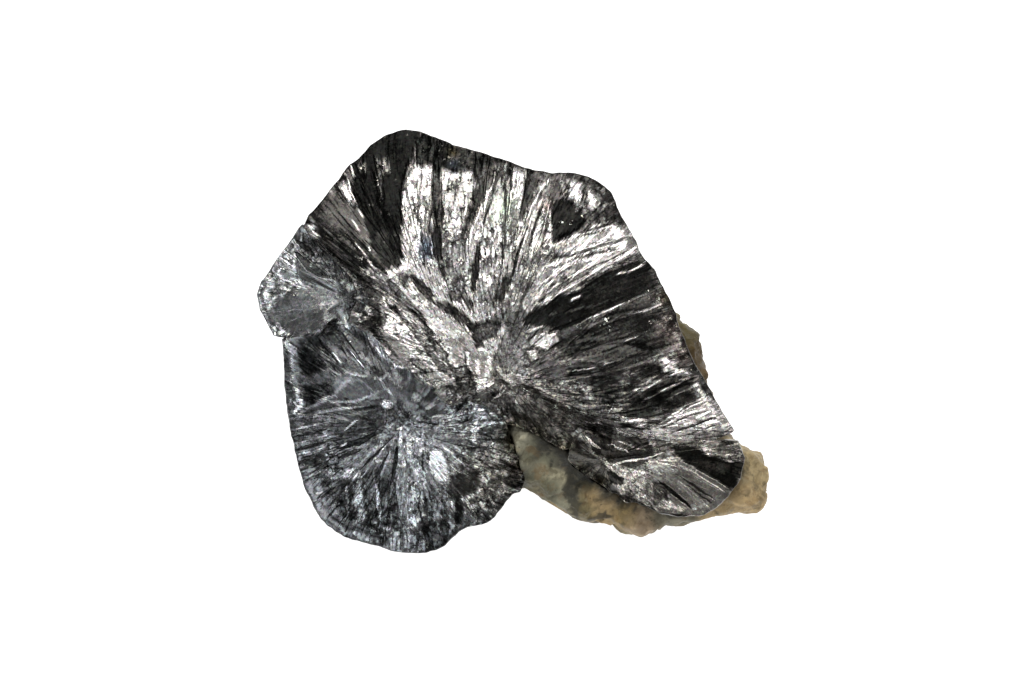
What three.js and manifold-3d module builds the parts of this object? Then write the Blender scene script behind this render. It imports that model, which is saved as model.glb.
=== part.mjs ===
// Molybdenite on matrix: four rosettes of radiating metallic leaves, grown against each other on a lump
// of quartz and feldspar. Millimetres, +Z up. The specimen lies on the rock's flat underside.
import * as THREE from "three";
import { mergeVertices } from "three/addons/utils/BufferGeometryUtils.js";
import Module from "manifold-3d";

const wasm = await Module();
wasm.setup();

// Driving dimensions
const contactGap = 0.3; // between solids that touch along a growth boundary
const rockRim = 0.9; // share of the rock's reach that lies flat on the ground
const rockShoulder = 5.2; // lowest height of the rock's upper surface, between its grains
const grainFall = 3.2; // how far a grain's surface drops from its crown to its edge
const rockChips = 0.35; // how much the rock's upper surface goes up and down from chip to chip
const leafFadeIn = 0.6; // share of a rosette's reach at which its leaves have their full relief
const outlineSamples = 240; // points that each outline curve is followed with
const seatHeadroom = 30; // how far above a rosette nothing else may stand

const colours = {
  molybdenite: { color: 0x7d8086, roughness: 0.32, metalness: 0.95 },
  matrix: { color: 0xa6946f, roughness: 0.75, metalness: 0.0 },
};

// A steady pseudo-random number from -1 to 1 for each whole number.
function jitter(n) {
  return 2 * THREE.MathUtils.seededRandom(n) - 1;
}

// A closed smooth curve through plan points, as a list of Vector2.
function outlineThrough(points) {
  const knots = points.map(([x, y]) => new THREE.Vector3(x, y, 0));
  const curve = new THREE.CatmullRomCurve3(knots, true, "centripetal");
  return curve.getPoints(outlineSamples).map((p) => new THREE.Vector2(p.x, p.y));
}

// The distance from a centre to an outline in one direction.
function reachOf(outline, centre, direction) {
  let reach = 0;
  for (let i = 0; i < outline.length - 1; i++) {
    const from = outline[i].clone().sub(centre);
    const along = outline[i + 1].clone().sub(outline[i]);
    const turn = direction.cross(along);
    if (Math.abs(turn) < 1e-9) continue;
    const distance = from.cross(along) / turn;
    const share = from.cross(direction) / turn;
    if (distance > 0 && share >= 0 && share <= 1) reach = Math.max(reach, distance);
  }
  return reach;
}

// A lathe-turned body sculpted to a shape. Round its centre it reaches out to the outline, and its height
// runs from floor to top. A section point is [share of the reach, share of the height].
// grow makes the whole body larger by that much on every side, and headroom lifts its top.
function sculptedLathe(form, grow = 0, headroom = 0) {
  const section = form.section.map(([out, up]) => new THREE.Vector2(out, up));
  const body = new THREE.LatheGeometry(section, form.segments);
  const centre = new THREE.Vector2(...form.centre);
  const outline = outlineThrough(form.outline);
  const reaches = [];
  for (let i = 0; i < form.segments; i++) {
    const turn = (2 * Math.PI * i) / form.segments;
    const direction = new THREE.Vector2(Math.cos(turn), Math.sin(turn));
    reaches.push(reachOf(outline, centre, direction));
  }
  const place = body.getAttribute("position");
  for (let i = 0; i < place.count; i++) {
    const column = Math.floor(i / section.length) % form.segments;
    const { x: out, y: up } = section[i % section.length];
    const turn = (2 * Math.PI * column) / form.segments;
    const reach = out * (reaches[column] + grow);
    const x = centre.x + Math.cos(turn) * reach;
    const y = centre.y + Math.sin(turn) * reach;
    const low = form.floor(x, y, out) - grow;
    const high = form.top(x, y, out, column) + grow;
    const lift = up === 1 ? headroom : 0;
    place.setXYZ(i, x, y, low + (high - low) * up + lift);
  }
  return solidFrom(body);
}

// A three.js geometry as a solid that can be cut and joined.
function solidFrom(geometry) {
  const bare = geometry.clone();
  bare.deleteAttribute("normal");
  bare.deleteAttribute("uv");
  const merged = mergeVertices(bare, 1e-4);
  const index = merged.index.array;
  const corners = [];
  for (let i = 0; i < index.length; i += 3) {
    const [a, b, c] = [index[i], index[i + 1], index[i + 2]];
    if (a !== b && b !== c && a !== c) corners.push(a, b, c);
  }
  return new wasm.Manifold(
    new wasm.Mesh({
      numProp: 3,
      vertProperties: merged.getAttribute("position").array,
      triVerts: new Uint32Array(corners),
    }),
  );
}

// A solid as a named mesh. Slivers that a cut leaves behind are dropped: the largest body is the piece.
function meshFrom(solid, name, look) {
  const bodies = solid.decompose().sort((a, b) => b.volume() - a.volume());
  const { vertProperties, triVerts } = bodies[0].getMesh();
  const geometry = new THREE.BufferGeometry();
  geometry.setAttribute("position", new THREE.BufferAttribute(vertProperties, 3));
  geometry.setIndex(new THREE.BufferAttribute(triVerts, 1));
  geometry.computeVertexNormals();
  const mesh = new THREE.Mesh(geometry, new THREE.MeshStandardMaterial(look));
  mesh.name = name;
  return mesh;
}

// The height that a rosette's leaves add: each leaf is a wedge from the centre that tips sideways, so it
// ends in a step where the next one starts.
function leafRelief(leaf, column, out) {
  const within = (column % leaf.columns) / (leaf.columns - 1);
  const which = Math.floor(column / leaf.columns);
  const tip = leaf.tip + leaf.tipSpread * jitter(which + leaf.seed);
  const lift = leaf.lift * jitter(which * 3 + leaf.seed);
  return (tip * (within - 0.5) + lift) * Math.min(1, out / leafFadeIn);
}

// The section of a rosette: a shallow bowl below, a rim that overhangs it, and a leafy top.
const rosetteUnderside = [[0, 0], [0.5, 0], [0.86, 0.03], [0.975, 0.25], [1, 0.6]];
const rosetteTop = [[0.992, 0.9], [0.95, 1], [0.76, 1], [0.54, 1], [0.32, 1], [0.12, 1], [0, 1]];
const rosetteSection = [...rosetteUnderside, ...rosetteTop];
const seatSection = [...rosetteUnderside, [1, 1], [0, 1]];

// A rosette's top and underside, from its heights at the centre, on the ridge half way out and at the rim.
// A smaller rosette leans up towards the main one, so that their rims meet at nearly the same height.
function rosetteForm(shape) {
  const { centre, height, lean, leaf, bowl } = shape;
  const top = (x, y, out, column) => {
    const rise = Math.sin(Math.PI * Math.min(1, out)) * (height.ridge - height.centre);
    const fall = (height.rim - height.centre) * out ** 3;
    const slope = lean[0] * (x - centre[0]) + lean[1] * (y - centre[1]);
    return height.centre + rise + fall + slope + leafRelief(leaf, column, out);
  };
  const floor = (x, y, out) => bowl.centre + (bowl.rim - bowl.centre) * out ** 2;
  return { ...shape, section: rosetteSection, top, floor };
}

// Growth boundaries that two rosettes share, and the open edges between them.
const mainToLeft = [[-29.5, 16.3], [-26, 13.2], [-23, 9.8], [-21.6, 6], [-23, 3]];
const mainToLower = [
  [-23, 3], [-20, 1.2], [-17, -2.2], [-13.5, -5.2], [-10.5, -7.2], [-8.6, -8.8], [-6, -8.6], [-3, -9.6],
  [-1.2, -11.2],
];
const leftToLower = [[-23, 3], [-25.5, 2.4], [-28, 1], [-30.6, 0.8], [-32.6, 0]];
const mainToRight = [[31.8, -13.6], [26, -13.8], [20, -14.3], [15, -13.2], [10.5, -12.6], [8.6, -14.8]];
const mainEdge = [
  [-27, 19.8], [-24.6, 23], [-21.2, 26.7], [-18.3, 29], [-15, 30.2], [-11.5, 29.4], [-8.2, 27.7],
  [-4, 26.7], [0.5, 25.3], [4, 24.2], [8, 24], [11.8, 23.1], [14.2, 21], [15.3, 18.2], [17, 15.3],
  [18.4, 12.4], [20.3, 10], [21.4, 7.6], [23, 4.6], [24, 1.5], [25.6, -2.2], [27.6, -5.8], [29.3, -9],
  [31.2, -12],
];
const lowerEdge = [
  [-32.3, -2.2], [-32.1, -7], [-31.4, -12.6], [-30.3, -17.4], [-28.9, -21.6], [-27.3, -24.9], [-25, -27],
  [-22, -28.2], [-18, -29.4], [-14, -30.1], [-11.4, -29.8], [-9.3, -28.8], [-7.8, -27.3], [-6.2, -26.4],
  [-3.6, -25.8], [-1.8, -24.4], [-0.8, -22.6], [0.6, -21.2], [1.4, -19.6], [0.6, -17], [-0.4, -14],
];
const leftEdge = [[-33.9, 1.4], [-35.2, 3.6], [-36.1, 6], [-35.6, 8], [-34.3, 10.2], [-31.8, 13.6]];
const rightEdge = [
  [8.8, -17.2], [11.5, -19.2], [15.2, -21.6], [19, -23.4], [22.5, -24.6], [25.8, -25], [28.4, -24],
  [30.6, -22], [32.5, -19.3], [32.9, -16.5],
];
const mainNotch = [[6.6, -14.9], [4.4, -13.3], [1, -11.6]];
const backwards = (points) => [...points].reverse();
const inside = (points) => points.slice(1, -1);

const mainRosette = rosetteForm({
  centre: [-2, -4],
  outline: [
    mainToLeft[0], ...mainEdge, mainToRight[0], ...inside(mainToRight), mainToRight.at(-1), ...mainNotch,
    ...backwards(mainToLower), ...backwards(inside(mainToLeft)),
  ],
  segments: 100,
  height: { centre: 20.6, ridge: 23.2, rim: 20 },
  lean: [0.01, 0.02],
  bowl: { centre: 8.5, rim: 12.5 },
  leaf: { columns: 4, tip: 1.1, tipSpread: 0.75, lift: 0.7, seed: 4 },
});

const lowerRosette = rosetteForm({
  centre: [-14.6, -12.6],
  outline: [
    mainToLower[0], ...inside(mainToLower), mainToLower.at(-1), ...backwards(lowerEdge),
    leftToLower.at(-1), ...backwards(inside(leftToLower)),
  ],
  segments: 80,
  height: { centre: 18.8, ridge: 20.2, rim: 17.4 },
  lean: [0.07, 0.145],
  bowl: { centre: 6.5, rim: 7.5 },
  leaf: { columns: 4, tip: 0.8, tipSpread: 0.55, lift: 0.5, seed: 21 },
});

const leftFan = rosetteForm({
  centre: [-23.8, 6.6],
  outline: [
    ...backwards(mainToLeft), ...backwards(leftEdge), leftToLower.at(-1),
    ...backwards(inside(leftToLower)),
  ],
  segments: 36,
  height: { centre: 19.8, ridge: 20.3, rim: 19.4 },
  lean: [0.22, 0.08],
  bowl: { centre: 9, rim: 9.5 },
  leaf: { columns: 4, tip: 0.5, tipSpread: 0.35, lift: 0.4, seed: 33 },
});

const rightFan = rosetteForm({
  centre: [14, -16.6],
  outline: [...mainToRight, ...rightEdge],
  segments: 44,
  height: { centre: 19, ridge: 20.3, rim: 18.2 },
  lean: [-0.02, 0.3],
  bowl: { centre: 9, rim: 10 },
  leaf: { columns: 4, tip: 0.7, tipSpread: 0.45, lift: 0.5, seed: 47 },
});

// Rounded grains that make the rock's upper surface: plan place, radius and height of each crown.
const rockGrains = [
  { x: 25.4, y: -1.6, radius: 7.5, crown: 13.6 },
  { x: 32.6, y: -19.4, radius: 8.5, crown: 11.8 },
  { x: 17, y: -24.2, radius: 7, crown: 10.8 },
  { x: 9.6, y: -20.6, radius: 7, crown: 12.2 },
  { x: 3.6, y: -15.6, radius: 8, crown: 14.4 },
  { x: 24, y: -23.6, radius: 7, crown: 10.4 },
  { x: -4, y: 2, radius: 30, crown: 14 },
];

// The rock's outer edge, clockwise from its upper right. Its left half lies hidden under the rosettes.
const rockEdge = [
  [22.6, 4.4], [24.4, 3.4], [25.4, 1.7], [26.7, 1.1], [27.3, -1.2], [27.9, -4.4], [28.1, -6.6],
  [29.6, -9.6], [31.4, -11.8], [32.6, -14.4], [34.4, -15.1], [35.8, -16.2], [36.2, -18.2], [36, -21.4],
  [35.5, -23.3], [34, -24.1], [30.8, -24.3], [28.2, -25], [25.2, -26], [22.4, -25.8], [20.3, -26],
  [19.7, -27.2], [18.3, -27.6], [16.2, -26.9], [13, -25.5], [9.4, -24.2], [6.4, -22.7], [4, -21],
  [1.2, -20.6], [-2, -22.4], [-5.5, -23.2], [-9.5, -26.2], [-15.5, -26.4], [-19.2, -24], [-23.4, -23],
  [-26.6, -17.4], [-26.4, -12.5], [-28.6, -8], [-28.2, -1.6], [-29.4, 3.6], [-27.2, 9.4], [-24.8, 11.6],
  [-22.8, 17.4], [-18.4, 20.2], [-15.6, 24.4], [-9.8, 23.6], [-4.6, 21.4], [1.2, 22.4], [7.4, 20.8],
  [10.8, 16.8], [14.6, 14.4], [17.4, 9.6],
];

function rockTop(x, y) {
  const crowns = rockGrains.map(({ x: gx, y: gy, radius, crown }) => {
    const away = Math.hypot(x - gx, y - gy) / radius;
    return crown - grainFall * away * away;
  });
  return Math.max(rockShoulder, ...crowns);
}

// The chips fade out towards the middle, where the columns come together.
function rockTopWithChips(x, y, out, column) {
  const ring = rockForm.section.findIndex(([share]) => share === out);
  return rockTop(x, y) + rockChips * jitter(column * rockForm.section.length + ring) * out;
}

const rockForm = {
  centre: [4, -6],
  outline: rockEdge,
  segments: 84,
  section: [
    [0, 0], [rockRim, 0], [0.985, 0.28], [1, 0.55], [0.985, 0.85], [0.93, 1], [0.84, 1], [0.72, 1],
    [0.5, 1], [0, 1],
  ],
  floor: () => 0,
  top: rockTopWithChips,
};

// The room that a rosette takes from what grows against it: its underside and rim with the contact gap,
// and everything above it.
function seatOf(rosette) {
  return sculptedLathe({ ...rosette, section: seatSection }, contactGap, seatHeadroom);
}

// Each rosette makes room for those that were there first, and the rock for all of them.
function grownAgainst(form, rosettes) {
  return rosettes.reduce((solid, rosette) => solid.subtract(seatOf(rosette)), sculptedLathe(form));
}

const pieces = [
  ["main_rosette", sculptedLathe(mainRosette), colours.molybdenite],
  ["lower_rosette", grownAgainst(lowerRosette, [mainRosette]), colours.molybdenite],
  ["left_fan", grownAgainst(leftFan, [mainRosette, lowerRosette]), colours.molybdenite],
  ["right_fan", grownAgainst(rightFan, [mainRosette]), colours.molybdenite],
  ["matrix_rock", grownAgainst(rockForm, [mainRosette, lowerRosette, leftFan, rightFan]), colours.matrix],
];

const specimen = new THREE.Group();
for (const [name, solid, look] of pieces) {
  specimen.add(meshFrom(solid, name, look));
}

// The origin is the middle of the underside's bounding box.
const box = new THREE.Box3().setFromObject(specimen);
const middle = box.getCenter(new THREE.Vector3());
specimen.position.set(-middle.x, -middle.y, -box.min.z);

export default specimen;
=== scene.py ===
# Molybdenite rosettes on quartz and feldspar: four rosettes of bright metallic leaves that grew against
# each other, lying face up on the rock's flat break. Shapes are worked in millimetres, then put in metres.
import bpy
import bmesh
import math
import numpy as np
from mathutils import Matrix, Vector
from mathutils.bvhtree import BVHTree


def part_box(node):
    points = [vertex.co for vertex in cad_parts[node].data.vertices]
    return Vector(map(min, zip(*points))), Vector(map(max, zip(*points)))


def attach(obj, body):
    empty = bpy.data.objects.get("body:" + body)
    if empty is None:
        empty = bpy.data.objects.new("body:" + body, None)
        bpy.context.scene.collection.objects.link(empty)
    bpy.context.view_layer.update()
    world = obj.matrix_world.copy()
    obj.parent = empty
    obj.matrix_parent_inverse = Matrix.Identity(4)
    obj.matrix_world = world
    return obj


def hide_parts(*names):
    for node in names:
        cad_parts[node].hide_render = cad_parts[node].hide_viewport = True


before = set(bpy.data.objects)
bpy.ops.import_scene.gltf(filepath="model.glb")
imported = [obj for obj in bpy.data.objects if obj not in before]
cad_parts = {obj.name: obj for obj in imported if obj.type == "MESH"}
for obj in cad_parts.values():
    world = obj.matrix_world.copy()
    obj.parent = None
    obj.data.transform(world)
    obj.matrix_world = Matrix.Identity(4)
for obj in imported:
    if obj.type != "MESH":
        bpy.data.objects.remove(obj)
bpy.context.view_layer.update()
mm = 0.001  # Blender works in metres
wholeTurn = 2 * math.pi
farAway = 1e9
seedLeast, seedSpan = 0.1, 0.8  # a cell's seed stays off its border
above, below = 60, -5  # heights clear of the specimen, for rays to start from
up, down = Vector((0, 0, 1)), Vector((0, 0, -1))


def linear(hexColour):  # sRGB hex to the linear colour that a socket takes
    parts = [int(hexColour[i:i + 2], 16) / 255 for i in (1, 3, 5)]
    return tuple(p / 12.92 if p <= 0.04045 else ((p + 0.055) / 1.055) ** 2.4 for p in parts) + (1,)


# settings go on the node or its sockets, links come from sockets
def addNode(material, kind, settings={}, links={}):
    node = material.node_tree.nodes.new("ShaderNode" + kind)
    for name, value in settings.items():
        if isinstance(name, str) and hasattr(node, name):
            setattr(node, name, value)
        else:
            node.inputs[name].default_value = value
    for name, source in links.items():
        material.node_tree.links.new(source, node.inputs[name])
    return node


def hashed(i, j, seed):  # 0 to 1 for each pair of whole numbers: the usual sine hash
    wave = np.sin(i * 127.1 + j * 311.7 + seed * 74.7) * 43758.5453
    return wave - np.floor(wave)


def hashedCell(cell, k, seed, prime=9973):  # another 0 to 1 for a cell that already has its own
    return hashed(np.floor(cell * prime), k, seed)


def softNoise(u, v, seed):  # -1 to 1, one bump a unit; seeds only have to differ
    i, j = np.floor(u), np.floor(v)
    fu, fv = u - i, v - j
    fu, fv = fu * fu * (3 - 2 * fu), fv * fv * (3 - 2 * fv)
    low = hashed(i, j, seed) * (1 - fu) + hashed(i + 1, j, seed) * fu
    high = hashed(i, j + 1, seed) * (1 - fu) + hashed(i + 1, j + 1, seed) * fu
    return 2 * (low * (1 - fv) + high * fv) - 1


def easeIn(values, start, end):  # 0 before start, 1 after end
    t = np.clip((values - start) / (end - start), 0, 1)
    return t * t * (3 - 2 * t)


def mound(x, y, centreX, centreY, reach):  # 1 at the centre, fading to 0
    return np.exp(-(np.hypot(x - centreX, y - centreY) / reach) ** 2)


def smoothRound(values, reach):  # a running mean round a closed ring of columns
    kernel = np.hanning(2 * reach + 3)[1:-1]
    padded = np.concatenate([values[-reach:], values, values[:reach]])
    return np.convolve(padded, kernel / kernel.sum(), mode="valid")


def closedRing(values, reach):  # the same, for a row whose last column repeats its first
    ring = smoothRound(values[:-1], reach)
    return np.append(ring, ring[:1])


# eases the last columns into the first, so that noise round a ring has no step
def closeRing(values, start=0.97):
    last = values.shape[-1] - 1
    return values + (values[..., :1] - values[..., -1:]) * easeIn(np.arange(last + 1.0), last * start, last)


def treeOf(node):  # the CAD solid, to cast rays at
    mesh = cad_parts[node].data
    corners = [v.co / mm for v in mesh.vertices]
    return BVHTree.FromPolygons(corners, [tuple(p.vertices) for p in mesh.polygons])


def insidePatch(x, y, corners):
    inside = np.zeros(x.shape, bool)
    for (x1, y1), (x2, y2) in zip(corners, corners[1:] + corners[:1]):
        if y1 != y2:
            inside ^= ((y1 > y) != (y2 > y)) & (x < (x2 - x1) * (y - y1) / (y2 - y1) + x1)
    return inside


def insideStreak(x, y, path, width, blunt=0.02):  # a leaf edge that swells from a blunt point at each end
    lengths = [math.dist(a, b) for a, b in zip(path, path[1:])]
    total, walked = sum(lengths), 0
    inside = np.zeros(x.shape, bool)
    for (x1, y1), (x2, y2), length in zip(path, path[1:], lengths):
        along = ((x - x1) * (x2 - x1) + (y - y1) * (y2 - y1)) / length ** 2
        off = np.abs((x - x1) * (y2 - y1) - (y - y1) * (x2 - x1)) / length
        share = (walked + along.clip(0, 1) * length) / total
        swell = np.sqrt(np.sin(np.pi * share.clip(blunt, 1 - blunt)))
        inside |= (along > -blunt) & (along < 1 + blunt) & (off < width / 2 * swell)
        walked += length
    return inside


# which cell of a leaf mosaic each point is in, and its way from the seed
def nearestSeed(u, v, sizeU, sizeV, seed):
    u, v = u / sizeU, v / sizeV
    i, j = np.floor(u), np.floor(v)
    best = np.full(u.shape, farAway)
    bestU, bestV, cell = np.zeros(u.shape), np.zeros(u.shape), np.zeros(u.shape)
    for di in (-1, 0, 1):
        for dj in (-1, 0, 1):
            a, b = i + di, j + dj
            seedU = a + seedLeast + seedSpan * hashed(a, b, seed)
            seedV = b + seedLeast + seedSpan * hashed(a, b, seed + 1.7)
            away = (u - seedU) ** 2 + (v - seedV) ** 2
            closer = away < best
            best = np.where(closer, away, best)
            bestU, bestV = np.where(closer, seedU, bestU), np.where(closer, seedV, bestV)
            cell = np.where(closer, hashed(a, b, seed + 5.3), cell)
    return cell, (u - bestU) * sizeU, (v - bestV) * sizeV


# how every rosette grows; lengths are millimetres
habit = {
    # rays that read the CAD's outline: round it, up its side, and how many are evened together
    "rays": (1440, 12, 3),
    "topMargin": 1.7, "underMargin": 1.2,  # how far inside the CAD's rounded rim its heights are read
    "evenPasses": 10,  # that take the CAD's facets out of the height
    # the growth boundary: how wide a gap still counts as one, how fast it fades in, columns evened together
    "meetGap": 1.8, "meetFade": 0.9, "meetBlend": 10,
    # how far the rim reaches over it, and how far in the heights are matched
    "overlap": 0.34, "meetWidth": 5,
    # how near the outline a free rim's edge comes, and a shared one's
    "edgeShare": 0.991, "sharedEdge": 0.999,
    "calmAtMeeting": (0.2, 1.8),  # how far from it the relief starts and is full
    # a free rim: nicks across and deep, and how it rolls over, down and from how far in
    "nicks": [(2.3, 0.12), (0.7, 0.05)], "rollDrop": 0.35, "rollReach": 1.1,
    # the thin torn lip over the stone's bank: spread, where it starts and is full, how far out, ragged by,
    # across, and where on the height it has thinned out
    "lip": {
        "spread": 1.3, "ease": (0.2, 0.5), "out": 0.55, "ragged": 0.3, "across": 0.9, "under": (0.86, 0.94),
    },
    # the flank from the rim down and in under: share of the reach, share of the height
    "profile": [
        (0.998, 0.985), (1, 0.955), (0.997, 0.86), (0.99, 0.66), (0.985, 0.45), (0.965, 0.24), (0.9, 0.07),
        (0.8, 0.02), (0.5, 0), (0, 0),
    ],
    "underBlend": 12,  # columns evened together
    # stacked leaves seen edge on: thick, along, how far they wander in how far, and how far they stand out
    "sheet": {"thick": 0.55, "along": 14, "wander": 1.2, "every": 9, "out": 0.16},
    "flankTears": [(0.7, 0.8, 0.10), (2.6, 2, 0.16)],  # along, down, deep
    "bulge": (0.6, 0.5),  # where on the height the flank stands out, and how far from there it fades
    # the rim takes its leaf's tone, painted reflection and all, which is gone a ninth of the way round the
    # profile
    "rimShare": 9, "flankShare": (0.3, 1.3),
    "flankTone": {"fromRim": 0.3, "evened": 24, "own": 0.14, "sheets": 0.13, "least": 0.06, "most": 0.5},
    "flankCrumple": {"mean": 0.4, "swing": 0.3, "along": 4, "down": 2.4}, "flankGlintFleck": 0.05,
}

# how the leaves lie on the top; lengths are millimetres
leafLay = {
    # blades this crowded, beside the rim, have lost their own marks; and from here on they have all of them
    "crowded": (0.18, 0.5),
    # the ragged hand, along the growth and across it: across, along, how far
    "slide": [(1.0, 2.2, 0.30), (0.4, 0.9, 0.14)], "shift": [(1.1, 1.6, 0.16), (0.5, 0.5, 0.10)],
    # how much less it slides at the rim, from and to which share of the way out
    "calmRim": (0.75, 0.84, 0.94),
    "fuzzAcross": (0.9, 0.45, 0.3),  # the soft edge of a patch is a mean of three ragged ones
    "patchRoom": 2,  # how far outside its corners a patch may reach
    "plainCrumple": 0.5,
    "levelTone": 0.4, "streakLift": 0.5,  # brighter leaves stand up from this tone, darker ones lie deeper
    "streakLoose": 0.65,  # how much of the ragged hand a streak takes
    # what shows on an unmarked sheet, and the crumple where marks begin
    "unmarked": 0.06, "markedFrom": (0.02, 0.2),
    # leaves brighter than this lean towards the key light, how strongly, and where it stands from +Y to +X
    "facingTone": 0.38, "leanGain": 0.2, "lightTurn": -8,
    "coreRoom": 0.15,  # leaves near the core have no more room to tip than this
    # how a mosaic's cells are bent: across, along, and by how much of their size
    "bend": (1.5, 0.7, 0.5, 0.3),
    "swing": (1.1, 0.8, 0.35, 1.3, 0.6),  # a cell's swing: less with crumple, more with tone up to the last
    "foilFrom": (1.3, 0.3), "foilLean": 3, "foilBend": 0.3, "foilLeast": 0.2,
    "grains": (0.16, 0.5, 1),  # scatter of standing grains in foil, painted bright as glints: how many, from and to which crumple
    "chip": (0.35, 0.35, 0.3),  # a cloud of grains painted bright as glints: least reach, and how much more, and its full share
    "darkest": 0.03,
}


def outlineOf(node, centre):  # how far the CAD solid reaches from a centre, all round
    count, levels, evened = habit["rays"]
    low, high = (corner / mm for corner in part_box(node))
    reach = np.zeros(count)
    for i in range(count):
        turn = wholeTurn * i / count
        ray = Vector((math.cos(turn), math.sin(turn), 0))
        for k in range(1, levels):
            middle = Vector((centre[0], centre[1], low.z + (high.z - low.z) * k / levels))
            hit = trees[node].ray_cast(middle + ray * above, -ray, above)[0]
            if hit:
                reach[i] = max(reach[i], (hit - middle).length)
    reach = smoothRound(reach, evened)
    turns = wholeTurn * np.arange(count) / count
    return turns, reach, centre[0] + reach * np.cos(turns), centre[1] + reach * np.sin(turns)


def insideRim(form, x, y, margin):  # plan points drawn in to stay a margin clear of the CAD's rounded rim
    turns, reach, _, _ = outlines[form["node"]]
    dx, dy = x - form["centre"][0], y - form["centre"][1]
    allowed = np.interp(np.arctan2(dy, dx) % wholeTurn, turns, reach, period=wholeTurn) - margin
    pull = np.minimum(1, np.maximum(allowed, 0.5) / np.maximum(np.hypot(dx, dy), 1e-6))
    return form["centre"][0] + dx * pull, form["centre"][1] + dy * pull


def castHeights(tree, x, y, fromBelow, skip=10):  # the CAD's height at each point, read every few columns
    columns = x.shape[1] - 1
    start, ray = (below, up) if fromBelow else (above, down)
    heights = np.zeros(x.shape)
    for r in range(x.shape[0]):
        read, found = [], []
        for c in range(0, columns, skip):
            hit = tree.ray_cast(Vector((x[r, c], y[r, c], start)), ray)[0]
            if hit:
                read.append(c)
                found.append(hit.z)
        if read:
            heights[r] = np.interp(np.arange(columns + 1), read, found, period=columns)
        else:
            heights[r] = heights[r - 1]
    return heights


def meetNeighbours(form, x, y):  # 0 to 1 where another rosette's rim is close, and how high it stands there
    shared, height, nearest = np.zeros(x.shape), np.zeros(x.shape), np.full(x.shape, farAway)
    for other in rosettes:
        if other is form:
            continue
        otherX, otherY = outlines[other["node"]][2:]
        gaps = np.hypot(x[:, None] - otherX, y[:, None] - otherY)
        closest = gaps.argmin(axis=1)
        gap = gaps[np.arange(len(x)), closest]
        readX, readY = insideRim(other, otherX[closest], otherY[closest], habit["topMargin"])
        for i in np.flatnonzero((gap < habit["meetGap"]) & (gap < nearest)):
            hit = trees[other["node"]].ray_cast(Vector((readX[i], readY[i], above)), down)[0]
            if hit:
                height[i], nearest[i] = hit.z, gap[i]
                shared[i] = min(1, (habit["meetGap"] - gap[i]) / habit["meetFade"])
    known = np.flatnonzero(nearest < farAway)
    height = np.interp(np.arange(len(x)), known, height[known])
    return closedRing(shared, habit["meetBlend"]), closedRing(height, habit["meetBlend"])


def turnOf(point, centre):
    return math.atan2(point[1] - centre[1], point[0] - centre[0]) % wholeTurn


def ribPoints(form, turns, arc, across):  # the two plan points that bend each column on its way out
    ribs = sorted(form["ribs"], key=lambda rib: turnOf(rib[0], form["centre"]))
    knots = np.interp([turnOf(rim, form["centre"]) for rim, _, _ in ribs], np.append(turns, wholeTurn), arc)
    rows = np.array([near + far for _, near, far in ribs])
    return [
        closedRing(np.interp(across, knots, rows[:, k], period=arc[-1]), form["ribBlend"]) for k in range(4)
    ]


# the rim's reach, where it meets a neighbour, its torn lip and its edge
def growRim(form, across, turn, rim):
    centreX, centreY = form["centre"]
    seed, lip = form["seed"], habit["lip"]
    # where a neighbour grows against this rim, the rim reaches over the gap and keeps a sharp edge
    shared, meeting = meetNeighbours(form, centreX + rim * np.cos(turn), centreY + rim * np.sin(turn))
    rim = rim + habit["overlap"] * shared
    # a rim that stands free is torn: small steps and nicks
    nicks = enumerate(habit["nicks"])
    torn = sum(softNoise(across / size, across * 0, seed + k) * deep for k, (size, deep) in nicks)
    rim = rim + (1 - shared) * closeRing(torn)
    edge = habit["edgeShare"] + (habit["sharedEdge"] - habit["edgeShare"]) * shared
    endX, endY = centreX + rim * edge * np.cos(turn), centreY + rim * edge * np.sin(turn)
    # and where it sinks into the stone it is a thin torn lip that lies over the stone's bank
    sunk = np.zeros(across.shape)
    for sunkX, sunkY, sunkReach, _ in form["sunk"]:
        sunk = np.maximum(sunk, mound(endX, endY, sunkX, sunkY, sunkReach * lip["spread"]))
    ragged = lip["out"] + lip["ragged"] * softNoise(across / lip["across"], across * 0, seed + 6)
    out = closeRing((1 - shared) * easeIn(sunk, *lip["ease"]) * ragged)
    return rim, shared, meeting, out, endX + out * np.cos(turn), endY + out * np.sin(turn)


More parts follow.
